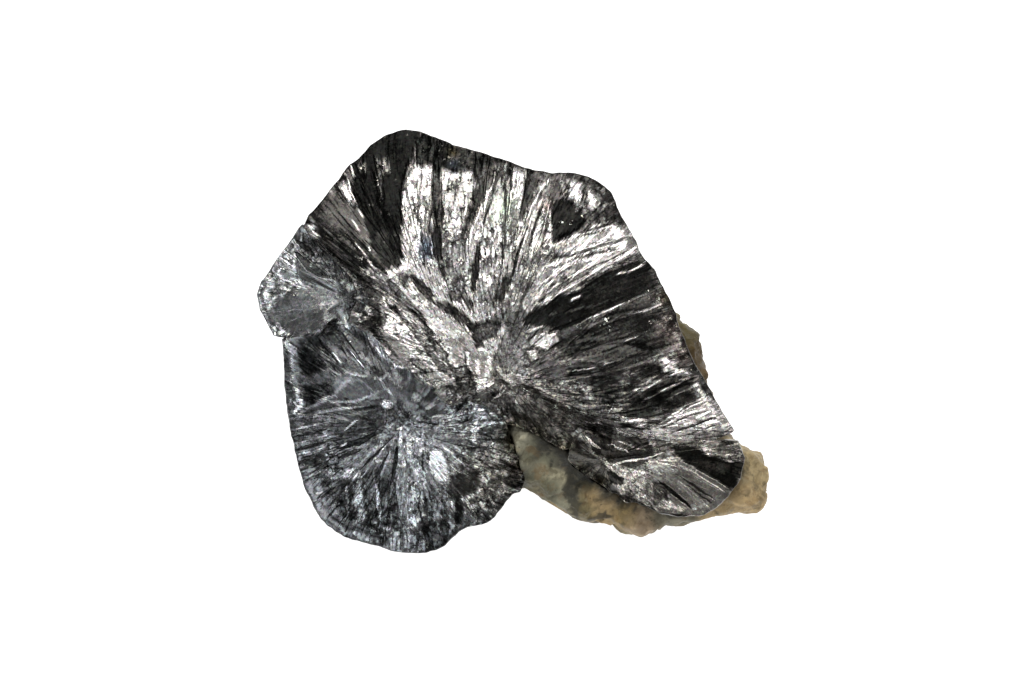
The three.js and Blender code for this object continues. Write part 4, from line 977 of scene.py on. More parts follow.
# molybdenite, grown as foil-thin leaves: a lead-grey metal lustre that glints, striped along the growth and
# crumpled; lengths are millimetres, and crumple is 0 on an unmarked sheet, 0.2 to 0.5 on blades, 1 in foil
leafFoil = {
    "roughness": (0.16, 0.36),
    # blades along the growth, mm across and along, and how far they tip
    "lath": (0.7, 3.2), "lathTip": 0.14,
    "facet": 1.0, "facetTip": 0.28,  # facets of crumpled foil, mm
    # torn edges and flecks: the real ones are near 0.1 mm, drawn as coarse as shows
    "grain": 0.24, "grainTip": 0.20,
    # growth lines, dark tears between blades, and soft folds painted as shading, lighter and darker in
    # broad soft bands
    "stria": (0.3, 3.5), "tear": (0.8, 2.8), "foldShade": (1.5, 4.5),
    "crease": 1.2, "crack": (2.0, 3.6),  # folds of the crumpled foil, and the dark edges of its plates
    "sheet": (5, 0.45),  # the stacked leaves seen edge on, along the flank and down it
    # each pattern: where its values start and end, and how far it swings the tone
    "swing": {
        "stria": (0, 1, 0.55), "tear": (0.68, 0.58, 0.7), "foldShade": (0.28, 0.72, 0.8), "facet": (0, 1, 0.5),
        "crease": (0.2, 1, 0.5), "crack": (0.2, 1, 0.6), "grain": (0, 1, 0.75), "sheet": (0.25, 0.75, 1.5),
    },
    "darkOnly": ("tear", "crease", "crack"), "darkHigh": 0.08,  # these swing down, and hardly up
    # how much of the swing a black leaf keeps, and how it grows with the tone
    "swingBase": 0.06, "swingGain": 0.66,
    # where patterns show: how little on the flank, from and to which crumple, and the least that stays
    "flankKeeps": 0.12, "markedFrom": (0.04, 0.2, 0.15), "combedLeast": 0.05, "tornLeast": 0.14,
    "foldShadeFrom": (0.2, 0.25), "grainedFrom": (0.6, 0.45),
    # the noise that pushes the patterns about: across, how far on the plan, how far along the growth
    "warp": 0.9, "pushPlan": 0.8, "pushGrowth": (0.6, 1.2, 0),
    "fractal": {"Detail": 3, "Roughness": 0.65},
    "layerTurn": (0.05, 0.04, 0),  # the stack leans a little
    "edgeWide": 0.14, "edgeThin": 0.01, "edgeNoise": (0.35, 0.65),  # the dark edges swell and thin
    "glintFrom": (0.92, 1.12), "glintLean": 0.36, "glintTone": 0.95,  # grains that stand on end, painted bright as glints
    # a faint tint from grain to grain; tips lean sideways more than down
    "faint": (0.2, 0.9), "tipDown": 0.3,
    "roughFrom": (0.3, 0.7), "striaBump": 0.25, "striaHeight": 0.08,
    # tone, which holds painted reflection as well as the leaf's own grey, and the grey that it stands for
    "ramp": [
        (0, "#090909"), (0.1, "#222221"), (0.25, "#484645"),
        (0.5, "#908E8D"), (0.7, "#CECBCA"), (0.95, "#D9D6D5"),
    ],
}


def makeLeafFoil(name, look):
    material = bpy.data.materials.new(name)
    material.use_nodes = True
    material.node_tree.nodes.clear()
    toneAndReflection, crumple, glintFleck, flank, spread = (
        addNode(material, "Attribute", {"attribute_name": key}).outputs["Fac"]
        for key in ("toneAndReflection", "crumple", "glintFleck", "flank", "spread")
    )
    cast = addNode(material, "Attribute", {"attribute_name": "cast"}).outputs["Color"]
    growth = addNode(material, "UVMap", {"uv_map": "growth"}).outputs["UV"]
    place = addNode(material, "TexCoord").outputs["Object"]
    normal = addNode(material, "NewGeometry").outputs["Normal"]
    smooth = addNode(material, "Math", {"operation": "SUBTRACT", 0: 1.0}, {1: crumple}).outputs[0]
    onTop = addNode(
        material, "MapRange", {"To Min": 1.0, "To Max": look["flankKeeps"]}, {"Value": flank}
    ).outputs[0]
    start, end, least = look["markedFrom"]
    shown = {"From Min": start, "From Max": end, "To Min": least}
    marked = addNode(material, "MapRange", shown, {"Value": crumple}).outputs[0]
    start, end = leafLay["crowded"]
    apart = addNode(
        material, "MapRange", {"From Min": start, "From Max": end}, {"Value": spread}
    ).outputs[0]
    ridged = addNode(material, "Math", {"operation": "MULTIPLY"}, {0: apart, 1: onTop}).outputs[0]
    striped = addNode(material, "Math", {"operation": "MULTIPLY"}, {0: marked, 1: ridged}).outputs[0]
    combed = addNode(material, "MapRange", {"To Min": look["combedLeast"]}, {"Value": smooth}).outputs[0]
    combed = addNode(material, "Math", {"operation": "MULTIPLY"}, {0: striped, 1: combed}).outputs[0]
    torn = addNode(material, "MapRange", {"To Min": look["tornLeast"]}, {"Value": smooth}).outputs[0]
    torn = addNode(material, "Math", {"operation": "MULTIPLY"}, {0: striped, 1: torn}).outputs[0]
    # where the painted shading of soft folds shows
    end, least = look["foldShadeFrom"]
    foldShaded = addNode(
        material, "MapRange", {"From Max": end, "To Min": least}, {"Value": crumple}
    ).outputs[0]
    foldShaded = addNode(material, "Math", {"operation": "MULTIPLY"}, {0: foldShaded, 1: ridged}).outputs[0]
    end, least = look["grainedFrom"]
    grained = addNode(
        material, "MapRange", {"From Max": end, "To Min": least}, {"Value": crumple}
    ).outputs[0]
    # crowded blades at a core read as crumpled foil
    foiled = addNode(material, "Math", {"operation": "SUBTRACT", 0: 1.0}, {1: apart}).outputs[0]
    foiled = addNode(material, "Math", {"operation": "MULTIPLY"}, {0: foiled, 1: marked}).outputs[0]
    foiled = addNode(material, "Math", {"operation": "MAXIMUM"}, {0: crumple, 1: foiled}).outputs[0]
    split = addNode(material, "Math", {"operation": "MULTIPLY"}, {0: foiled, 1: ridged}).outputs[0]
    # patterns on the plan and along the growth, both pushed about so that no cell keeps a straight side
    warp = addNode(
        material, "TexNoise", {"Scale": 1 / (look["warp"] * mm), **look["fractal"]}, {"Vector": place}
    )
    push = {"operation": "MULTIPLY_ADD", 1: (look["pushPlan"] * mm,) * 3}
    bentPlace = addNode(material, "VectorMath", push, {0: warp.outputs["Color"], 2: place}).outputs[0]
    push = {"operation": "MULTIPLY_ADD", 1: look["pushGrowth"]}
    bentGrowth = addNode(material, "VectorMath", push, {0: warp.outputs["Color"], 2: growth}).outputs[0]
    cells = {}
    for key in ("facet", "grain"):
        size = {"Scale": 1 / (look[key] * mm)}
        cells[key] = addNode(material, "TexVoronoi", size, {"Vector": bentPlace}).outputs["Color"]
    size = {"Scale": (1 / look["lath"][0], 1 / look["lath"][1], 1)}
    lathSpace = addNode(material, "Mapping", size, {"Vector": bentGrowth}).outputs[0]
    cells["lath"] = addNode(material, "TexVoronoi", {"Scale": 1}, {"Vector": lathSpace}).outputs["Color"]
    lines, noise = {}, {"Scale": 1, **look["fractal"]}
    for key, space in (("stria", growth), ("tear", bentGrowth), ("foldShade", bentGrowth)):
        size = {"Scale": (1 / look[key][0], 1 / look[key][1], 1)}
        stretched = addNode(material, "Mapping", size, {"Vector": space}).outputs[0]
        lines[key] = addNode(material, "TexNoise", noise, {"Vector": stretched}).outputs["Fac"]
    along, drop = look["sheet"]
    stack = {"Rotation": look["layerTurn"], "Scale": (1 / (along * mm), 1 / (along * mm), 1 / (drop * mm))}
    layered = addNode(material, "Mapping", stack, {"Vector": place}).outputs[0]
    lines["sheet"] = addNode(material, "TexNoise", noise, {"Vector": layered}).outputs["Fac"]
    edges = {"feature": "DISTANCE_TO_EDGE", "Scale": 1 / (look["crease"] * mm)}
    crease = addNode(material, "TexVoronoi", edges, {"Vector": bentPlace}).outputs["Distance"]
    size = {"Scale": (1 / look["crack"][0], 1 / look["crack"][1], 1)}
    plateSpace = addNode(material, "Mapping", size, {"Vector": bentGrowth}).outputs[0]
    edges = {"feature": "DISTANCE_TO_EDGE", "Scale": 1}
    crack = addNode(material, "TexVoronoi", edges, {"Vector": plateSpace}).outputs["Distance"]
    # the dark edges come and go, so they are measured against a width that does
    wide, thin, (start, end) = look["edgeWide"], look["edgeThin"], look["edgeNoise"]
    width = {"From Min": start, "From Max": end, "To Min": wide, "To Max": thin}
    crackWidth = addNode(material, "MapRange", width, {"Value": lines["foldShade"]}).outputs[0]
    crack = addNode(material, "Math", {"operation": "DIVIDE"}, {0: crack, 1: crackWidth}).outputs[0]
    width = {"From Min": start, "From Max": end, "To Min": thin, "To Max": wide}
    creaseWidth = addNode(material, "MapRange", width, {"Value": lines["tear"]}).outputs[0]
    crease = addNode(material, "Math", {"operation": "DIVIDE"}, {0: crease, 1: creaseWidth}).outputs[0]
    # how far each pattern swings the tone, and where it shows
    parts = []
    for key, source, where in (
        ("stria", lines["stria"], combed), ("tear", lines["tear"], torn), ("foldShade", lines["foldShade"], foldShaded),
        ("facet", cells["facet"], foiled), ("crease", crease, foiled), ("crack", crack, split),
        ("grain", cells["grain"], grained), ("sheet", lines["sheet"], flank),
    ):
        start, end, depth = look["swing"][key]
        high = look["darkHigh"] if key in look["darkOnly"] else depth / 2
        swing = {"From Min": start, "From Max": end, "To Min": high - depth, "To Max": high}
        part = addNode(material, "MapRange", swing, {"Value": source}).outputs[0]
        parts.append(addNode(material, "Math", {"operation": "MULTIPLY"}, {0: part, 1: where}).outputs[0])
    together = parts[0]
    for part in parts[1:]:
        together = addNode(material, "Math", {"operation": "ADD"}, {0: together, 1: part}).outputs[0]
    deepen = {"operation": "MULTIPLY_ADD", 1: look["swingGain"], 2: look["swingBase"]}
    depth = addNode(material, "Math", deepen, {0: toneAndReflection}).outputs[0]
    swung = addNode(
        material, "Math", {"operation": "MULTIPLY_ADD"}, {0: together, 1: depth, 2: toneAndReflection}
    ).outputs[0]
    # painted glints: the grains that stand on end are painted bright in the colour
    lean = {"operation": "MULTIPLY_ADD", 1: look["glintLean"]}
    paintedGlint = addNode(material, "Math", lean, {0: glintFleck, 2: cells["grain"]}).outputs[0]
    start, end = look["glintFrom"]
    shown = {"From Min": start, "From Max": end, "To Max": look["glintTone"]}
    paintedGlint = addNode(material, "MapRange", shown, {"Value": paintedGlint}).outputs[0]
    swung = addNode(material, "Math", {"operation": "MAXIMUM"}, {0: swung, 1: paintedGlint}).outputs[0]
    grey = addNode(material, "ValToRGB", {}, {"Fac": swung})
    stops = look["ramp"]
    for element, (at, colour) in zip(grey.color_ramp.elements, (stops[0], stops[-1])):
        element.position, element.color = at, linear(colour)
    for at, colour in stops[1:-1]:
        grey.color_ramp.elements.new(at).color = linear(colour)
    tinted = addNode(
        material, "VectorMath", {"operation": "MULTIPLY"}, {0: grey.outputs[0], 1: cast}
    ).outputs[0]
    change, least = look["faint"]
    tint = {"operation": "MULTIPLY_ADD", 1: (change,) * 3, 2: (least,) * 3}
    faint = addNode(material, "VectorMath", tint, {0: cells["grain"]}).outputs[0]
    tinted = addNode(material, "VectorMath", {"operation": "MULTIPLY"}, {0: tinted, 1: faint}).outputs[0]
    # each blade, facet and fleck tips its own way, so the metal glints
    facing = normal
    for key, where in (("lath", combed), ("facet", foiled), ("grain", grained)):
        tip = look[key + "Tip"]
        middle = {"operation": "SUBTRACT", 1: (0.5, 0.5, 0.5)}
        centred = addNode(material, "VectorMath", middle, {0: cells[key]}).outputs[0]
        centred = addNode(
            material, "VectorMath", {"operation": "SCALE"}, {0: centred, "Scale": where}
        ).outputs[0]
        tilt = {"operation": "MULTIPLY_ADD", 1: (tip, tip, tip * look["tipDown"])}
        facing = addNode(material, "VectorMath", tilt, {0: centred, 2: facing}).outputs[0]
    facing = addNode(material, "VectorMath", {"operation": "NORMALIZE"}, {0: facing}).outputs[0]
    (start, end), (least, most) = look["roughFrom"], look["roughness"]
    dull = {"From Min": start, "From Max": end, "To Min": least, "To Max": most}
    roughness = addNode(material, "MapRange", dull, {"Value": warp.outputs["Fac"]}).outputs[0]
    ridges = {"Strength": look["striaBump"], "Distance": look["striaHeight"] * mm}
    bump = addNode(material, "Bump", ridges, {"Height": lines["stria"], "Normal": facing}).outputs[0]
    surface = {"Base Color": tinted, "Roughness": roughness, "Normal": bump}
    metal = addNode(material, "BsdfPrincipled", {"Metallic": 1.0}, surface)
    addNode(material, "OutputMaterial", {}, {"Surface": metal.outputs[0]})
    return material


foilGrey = makeLeafFoil("molybdenite_leaf_foil", leafFoil)
for form in rosettes:
    piece = growRosette(form)
    piece.data.materials.append(foilGrey)
    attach(piece, "root")
    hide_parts(form["node"])
    print("grown:", form["name"], len(piece.data.polygons), "faces")

# the rock: milky and iron-stained quartz with feldspar, broken off a vein; lengths are millimetres
rock = {
    "name": "matrix_rock_stone", "node": "matrix_rock", "voxel": 0.45,
    # the faces that it broke along: across, tip, step; and how much their borders bend
    "breaks": [(5.2, 0.16, 0.30), (2.2, 0.24, 0.18), (1.0, 0.12, 0.05)], "breakBend": 0.15,
    "clearance": 0.14, "proud": 0.5,  # from the leaves, and the most that it stands out
    "rough": (0.07, 0.5, 0.4),  # fine roughness: high, across, down
    # the foot stays flat: breaks fade in over these heights, and what is lower than this is on the ground
    "foot": (0.2, 1.4), "ground": 0.25, "evenAbove": 0.3,
    # banks rise towards the rims above this height, from how far off, and over how far
    "bankFrom": 7, "bankGap": 0.34, "bankReach": 1.6, "bankFade": 0.7,
    "heapFacing": (0.3, 0.7),  # heaps only lift what faces up
    # ragged borders of the minerals: across, high, how far; two waves for each way across
    "ragged": [[(1.6, 1.3, 0.55), (0.6, 0.5, 0.28)], [(1.5, 1.2, 0.55), (0.55, 0.5, 0.28)]],
    # the body's minerals: cells, how far they bend, how much of its own colour each keeps
    "bodySize": 5.5, "bodyBend": 1.6, "bodyShare": 0.55,
    "spotSharp": 2.2, "spotRise": (5, 8.5),  # spots end softly, and fade out down the sides
    "bodyWeight": 3e-3,  # the body's minerals show where the spots weigh less
    "veinShare": 0.85, "veinFrom": 0.6,
    # leaf foil caught in the joints, and painted shade with grime that darkens the stone beside the leaves:
    # how much, swing, across; then where each ends
    "jointFilm": (0.55, 0.25, 0.7), "filmEnds": (0.5, 2.6), "shadeAndGrime": 0.6, "shadeAndGrimeEnds": (0.3, 2.2),
    "nearby": 4.0,  # leaves further off than this don't count
    "minerals": {
        "tan": "#A68F68", "sand": "#9C8B68", "ochre": "#8E7A52", "pink": "#A08C72", "grey": "#7E7B68",
        "chalkAndPaintedLight": "#C9C4AC", "pale": "#A49D82", "olive": "#6B6143",
        "brown": "#5A4830", "green": "#62614F", "dark": "#34322A", "film": "#31322B", "milky": "#777260",
        "umber": "#463E22", "rust": "#40300F",
    },
    "body": ["ochre", "grey", "tan", "olive", "pale", "ochre"],
    # mineral, reach, place
    "spots": [
        ("umber", 2.4, 24.4, 2.4), ("umber", 1.6, 25.4, 1), ("rust", 1.4, 26.4, 0.2),
        ("rust", 2.4, 26.3, -1.8), ("brown", 2.0, 27, -4.8), ("umber", 1.3, 30.9, -12.6),
        ("sand", 2.0, 33, -14.4), ("sand", 2.4, 34, -16.5), ("sand", 2.6, 34.5, -19.2),
        ("tan", 2.8, 34, -22), ("tan", 2.4, 31.8, -23.4), ("pink", 2.4, 18.6, -26.4),
        ("ochre", 1.8, 16.2, -25.2), ("tan", 2.0, 13, -23.6), ("tan", 1.4, 11.6, -22),
        ("olive", 1.6, 10.4, -23.6), ("olive", 1.2, 11.6, -20.6), ("grey", 1.8, 7.2, -22.4),
        ("green", 1.6, 5.4, -20.8), ("olive", 1.4, 3.6, -21), ("pale", 1.5, 5, -18.6),
        ("pale", 1.2, 6.1, -19.5), ("dark", 1.5, 7.4, -17.4), ("green", 1.0, 8.6, -18.4),
        ("green", 1.6, 3, -19.6), ("green", 1.0, 2.6, -15.6), ("grey", 1.4, 2.5, -17),
        # the chalk is pale stone painted lighter still, as painted light in the crevice between the
        # rosettes
        ("grey", 1.6, 1.6, -14.4), ("chalkAndPaintedLight", 2.0, 0.6, -12.8), ("dark", 2.2, 4.6, -15),
        ("green", 1.2, 3, -14.2), ("green", 1.4, 5, -17), ("dark", 1.0, 9.5, -18.5),
        ("film", 1.4, 11, -18.4), ("film", 1.6, 12.2, -17), ("film", 1.5, 9.8, -19),
        ("film", 1.5, 11.6, -20.5), ("film", 1.3, 13.4, -21.9), ("film", 1, 15.4, -23),
        ("dark", 0.7, 8.3, -21.5), ("milky", 2.2, 22, -25.6), ("milky", 1.6, 25.4, -25.2),
        ("tan", 2, 28.4, -25),
    ],
    # mineral, width, path
    "veins": [
        ("dark", 0.6, [(4.8, -13), (5.2, -16), (5.8, -17.6)]),
        ("dark", 1.9, [(8.2, -17), (8.3, -20.5), (8.8, -25)]), ("dark", 1.2, [(10.8, -25.3), (14, -24.7)]),
        ("brown", 0.8, [(0.3, -20.2), (1.2, -18.8), (2.4, -17.2)]),
        ("dark", 0.5, [(14.2, -22.6), (16.4, -23.6), (18, -24.2)]),
        ("brown", 0.4, [(9.6, -24.6), (10.2, -22.6), (9.6, -20.8)]),
    ],
    # leaf foil smeared over the stone: reach, place
    "films": [(2.0, 11.2, -18), (1.5, 9.4, -16.8), (1.3, 13.2, -19.4), (1.2, 3.4, -12.8)],
    # and where the stone is clean
    "bare": [(1.6, 0.8, -13.2), (1.2, 1.4, -15.4), (2.4, 25.4, 1.6), (2.6, 26.4, -1.6), (2.2, 27.2, -4.4)],
    "filmFull": 0.4, "bareFull": 0.3,  # the share of the reach where each is whole
    # the rim drawn out a little where the stone is square: place, move, reach
    "pulls": [
        (34.6, -22.4, 0.8, -0.3, 3.0), (35.6, -18, 0.3, 0, 2.4), (33.8, -13.4, -0.3, -1.0, 2.2),
        (31.4, -12, -0.7, -0.8, 1.6), (9, -24, 0.2, -0.9, 3.4), (4, -21.4, -0.3, -0.8, 2.6),
        (16.4, -26.2, -0.2, -0.6, 1.6), (18.6, -26.8, 0.2, -0.7, 1.8), (20, -26.6, 0.7, -0.4, 1.3),
        (22.8, -25.4, 0.2, -0.3, 1.2),
    ],
    # stone that comes up between the leaves: place, reach, height
    "heaps": [
        (0.8, -13.2, 2.4, 3.0), (0.6, -15.6, 1.3, 1.6), (1.6, -17.6, 1.5, 1.4), (4.2, -13.4, 2.2, 2.6),
        (7.4, -15.6, 2.2, 2.6), (9.8, -17.8, 1.6, 2.6), (11.6, -19.6, 1.4, 2.2), (13.6, -21.4, 1.4, 1.8),
        (1.4, -12.8, 1.3, 1.2), (3.4, -13.6, 1.4, 1.5), (6, -14.9, 1.4, 1.6), (8.2, -16.8, 1.3, 1.6),
        (9.9, -18.8, 1.1, 1.8), (12.4, -20.8, 1, 1.6), (15.2, -22.6, 1, 1), (0.8, -13.8, 0.9, 1),
        (1, -15.6, 0.9, 1.2), (1.8, -17.6, 1, 1.2), (2.2, -19.2, 1, 1),
    ],
    # where it stands between the rims, and how close its banks come to them
    "between": [
        (-1, -11), (1, -11.8), (4.4, -13.4), (8.6, -14.9), (8.8, -17.3), (11.5, -19.3), (15.2, -21.7),
        (19, -23.5), (22.5, -24.8), (22, -28), (3, -24), (-1, -21), (1.2, -19.5), (-0.4, -15),
    ],
}


# a mosaic in three directions: each point's cell number and its way from the seed
def stoneCells(points, size, seed, layerStep=57):
    p = points / size
    corner = np.floor(p)
    best, number, way = np.full(len(p), farAway), np.zeros(len(p)), np.zeros(p.shape)
    for step in np.ndindex(3, 3, 3):
        cell = corner + step - 1
        flat = cell[:, 0] + cell[:, 2] * layerStep
        offset = np.stack([hashed(flat, cell[:, 1], seed + lag) for lag in (0, 1.3, 2.9)], axis=1)
        at = cell + seedLeast + seedSpan * offset
        away = ((p - at) ** 2).sum(axis=1)
        closer = away < best
        best[closer] = away[closer]
        number[closer] = hashed(flat, cell[:, 1], seed + 4.1)[closer]
        way[closer] = (p - at)[closer]
    return number, way * size


# a coarse mosaic of minerals through the body, and the named spots and veins seen from above
def mineralsOf(look, points, free):
    colours = {name: np.array(linear(hexColour)) for name, hexColour in look["minerals"].items()}
    x, y, z = points.T
    wobbleX, wobbleY = (
        sum(softNoise(x / w, y / w + z / h, seed + k) * far for k, (w, h, far) in enumerate(waves))
        for seed, waves in zip((31, 33), look["ragged"])
    )
    bend = np.stack([wobbleX, wobbleY, wobbleX], axis=1) * look["bodyBend"]
    number, _ = stoneCells(points + bend, look["bodySize"], 23)
    palette = np.array([colours[name] for name in look["body"]])
    own = palette[(number * len(palette)).astype(int) % len(palette)]
    stone = look["bodyShare"] * own + (1 - look["bodyShare"]) * palette.mean(axis=0)
    x, y = x + wobbleX, y + wobbleY
    total, blend = np.full(len(points), look["bodyWeight"]), stone * look["bodyWeight"]
    for mineral, reach, cx, cy in look["spots"]:
        share = mound(x, y, cx, cy, reach) ** look["spotSharp"] * easeIn(z, *look["spotRise"])
        total += share
        blend = blend + share[:, None] * colours[mineral]
    stone = blend / total[:, None]
    for mineral, width, path in look["veins"]:
        inside = insideStreak(x, y, path, width) & (z > look["veinFrom"])
        stone[inside] += look["veinShare"] * (colours[mineral] - stone[inside])
    mean, swing, across = look["jointFilm"]
    film = (mean + swing * softNoise(x / across, y / across, 41)) * (1 - easeIn(free, *look["filmEnds"]))
    # painted shade and grime: the stone is darker the closer it lies to the leaves
    stone *= (look["shadeAndGrime"] + (1 - look["shadeAndGrime"]) * easeIn(free, *look["shadeAndGrimeEnds"]))[:, None]
    for reach, cx, cy in look["bare"]:
        film *= easeIn(np.hypot(x - cx, y - cy), reach * look["bareFull"], reach)
    for reach, cx, cy in look["films"]:
        film = np.maximum(film, 1 - easeIn(np.hypot(x - cx, y - cy), reach * look["filmFull"], reach))
    return {"stone": stone, "film": film}


def cutStone(look):  # a copy of the CAD solid, merged and cut into small even faces
    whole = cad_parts[look["node"]].data.copy()
    whole.materials.clear()
    bm = bmesh.new()
    bm.from_mesh(whole)
    bmesh.ops.remove_doubles(bm, verts=bm.verts, dist=1e-6)
    bm.to_mesh(whole)
    bm.free()
    blank = addPiece("stone_blank", whole)
    remesh = blank.modifiers.new("remesh", "REMESH")
    remesh.mode, remesh.voxel_size = "VOXEL", look["voxel"] * mm
    mesh = bpy.data.meshes.new_from_object(blank.evaluated_get(bpy.context.evaluated_depsgraph_get()))
    mesh.name = look["name"]
    bpy.data.objects.remove(blank)
    bpy.data.meshes.remove(whole)
    return mesh


def breakStone(look):  # banks and heaps between the leaves, and broken faces all over
    mesh = cutStone(look)
    count = len(mesh.vertices)
    points, normals = np.empty(count * 3), np.empty(count * 3, np.float32)
    mesh.vertices.foreach_get("co", points)
    mesh.vertex_normals.foreach_get("vector", normals)
    points, normals = points.reshape(-1, 3) / mm, normals.reshape(-1, 3)
    for cx, cy, moveX, moveY, reach in look["pulls"]:
        share = mound(points[:, 0], points[:, 1], cx, cy, reach)
        points[:, 0] += share * moveX
        points[:, 1] += share * moveY
    for cx, cy, reach, height in look["heaps"]:
        lift = height * mound(points[:, 0], points[:, 1], cx, cy, reach)
        points[:, 2] += lift * easeIn(normals[:, 2], *look["heapFacing"])
    rimX, rimY = (np.concatenate([outlines[form["node"]][k] for form in rosettes]) for k in (2, 3))
    between = insidePatch(points[:, 0], points[:, 1], look["between"]) & (points[:, 2] > look["bankFrom"])
    for i in np.flatnonzero(between):
        if any(tree.ray_cast(Vector(points[i]), up)[0] for tree in trees.values()):
            continue
        gaps = np.hypot(rimX - points[i, 0], rimY - points[i, 1])
        k = gaps.argmin()
        share = max(0, gaps[k] - look["bankGap"]) / gaps[k]
        share *= np.clip((look["bankReach"] - gaps[k]) / look["bankFade"], 0, 1)
        points[i, :2] += (np.array([rimX[k], rimY[k]]) - points[i, :2]) * share
    # how close the leaves are, so that the stone stays clear of them
    free = np.full(count, look["nearby"])
    for tree in trees.values():
        for i, point in enumerate(points):
            near = tree.find_nearest(point, free[i])
            if near[0]:
                free[i] = near[3]
    push = np.zeros(count)
    for size, tip, step in look["breaks"]:
        deep = points[:, [1, 2]].sum(axis=1, keepdims=True)
        bend = softNoise(points[:, [0]] / size * 2, deep / size * 2, 3)
        number, way = stoneCells(points + look["breakBend"] * size * bend, size, 17)
        lean = np.stack([hashedCell(number, lag, 5) - 0.5 for lag in (1, 2, 3)], axis=1)
        push += step * (number - 0.5) * 2 + tip * (way * lean).sum(axis=1) * 2
    high, wide, tall = look["rough"]
    push += high * softNoise(points[:, 0] / wide, points[:, 1] / wide + points[:, 2] / tall, 8)
    push = np.minimum(push, np.minimum(look["proud"], free - look["clearance"]))
    points += normals * (push * easeIn(points[:, 2], *look["foot"]))[:, None]
    points[:, 2] = np.where(points[:, 2] < look["ground"], 0, points[:, 2])
    mesh.vertices.foreach_set("co", (points * mm).ravel())
    bm = bmesh.new()
    bm.from_mesh(mesh)
    raised = [v for v in bm.verts if v.co.z > look["evenAbove"] * mm]
    bmesh.ops.smooth_vert(bm, verts=raised, factor=0.5, use_axis_x=True, use_axis_y=True, use_axis_z=True)
    bm.to_mesh(mesh)
    bm.free()
    paintPoints(mesh, mineralsOf(look, points, free))
    for face in mesh.polygons:
        face.use_smooth = True
    return addPiece(look["name"], mesh)


# quartz and feldspar, broken: a dull glassy break, waxy tan to olive, with dark grains and brown
# stains; lengths are millimetres
brokenStone = {
    "roughness": (0.38, 0.7), "ior": 1.54, "specular": 0.2,
    "grain": 0.8, "bump": 0.16, "bumpShare": 0.8, "domed": 0.5,  # each grain stands out a little, domed
    "cloud": 2.6, "cloudPush": 1.6,  # across, and how far it pushes the grains about
    "cloudFractal": {"Detail": 6, "Roughness": 0.7}, "mottleFractal": {"Detail": 3, "Roughness": 0.6},
    # the least and the most light of a grain; and of a cloud, from and to which noise
    "grainLight": (0.88, 1.36), "cloudLight": (0.3, 0.7, 0.72, 1.28),
    # colour, across, where its noise starts and ends, how much of it
    "mottles": [
        ("#4F4833", 1.7, 0.52, 0.66, 0.6), ("#BDB292", 1.2, 0.56, 0.68, 0.24),
        ("#75562E", 2.6, 0.58, 0.68, 0.4), ("#38352C", 0.42, 0.64, 0.72, 0.75),
    ],
    "mottleStep": (10, 20),  # each is read this far from the one before
    # stone this dark to stone this light, and how much of the mottles the dark keeps
    "stained": (0.03, 0.12, 0.4),
    # foil smeared over it: patchy by, where it starts and is whole, how metallic, its colour
    "filmPatchy": 1.6, "filmFrom": (0.45, 0.9), "filmMetal": 0.9, "filmColour": "#2B2C2A",
}


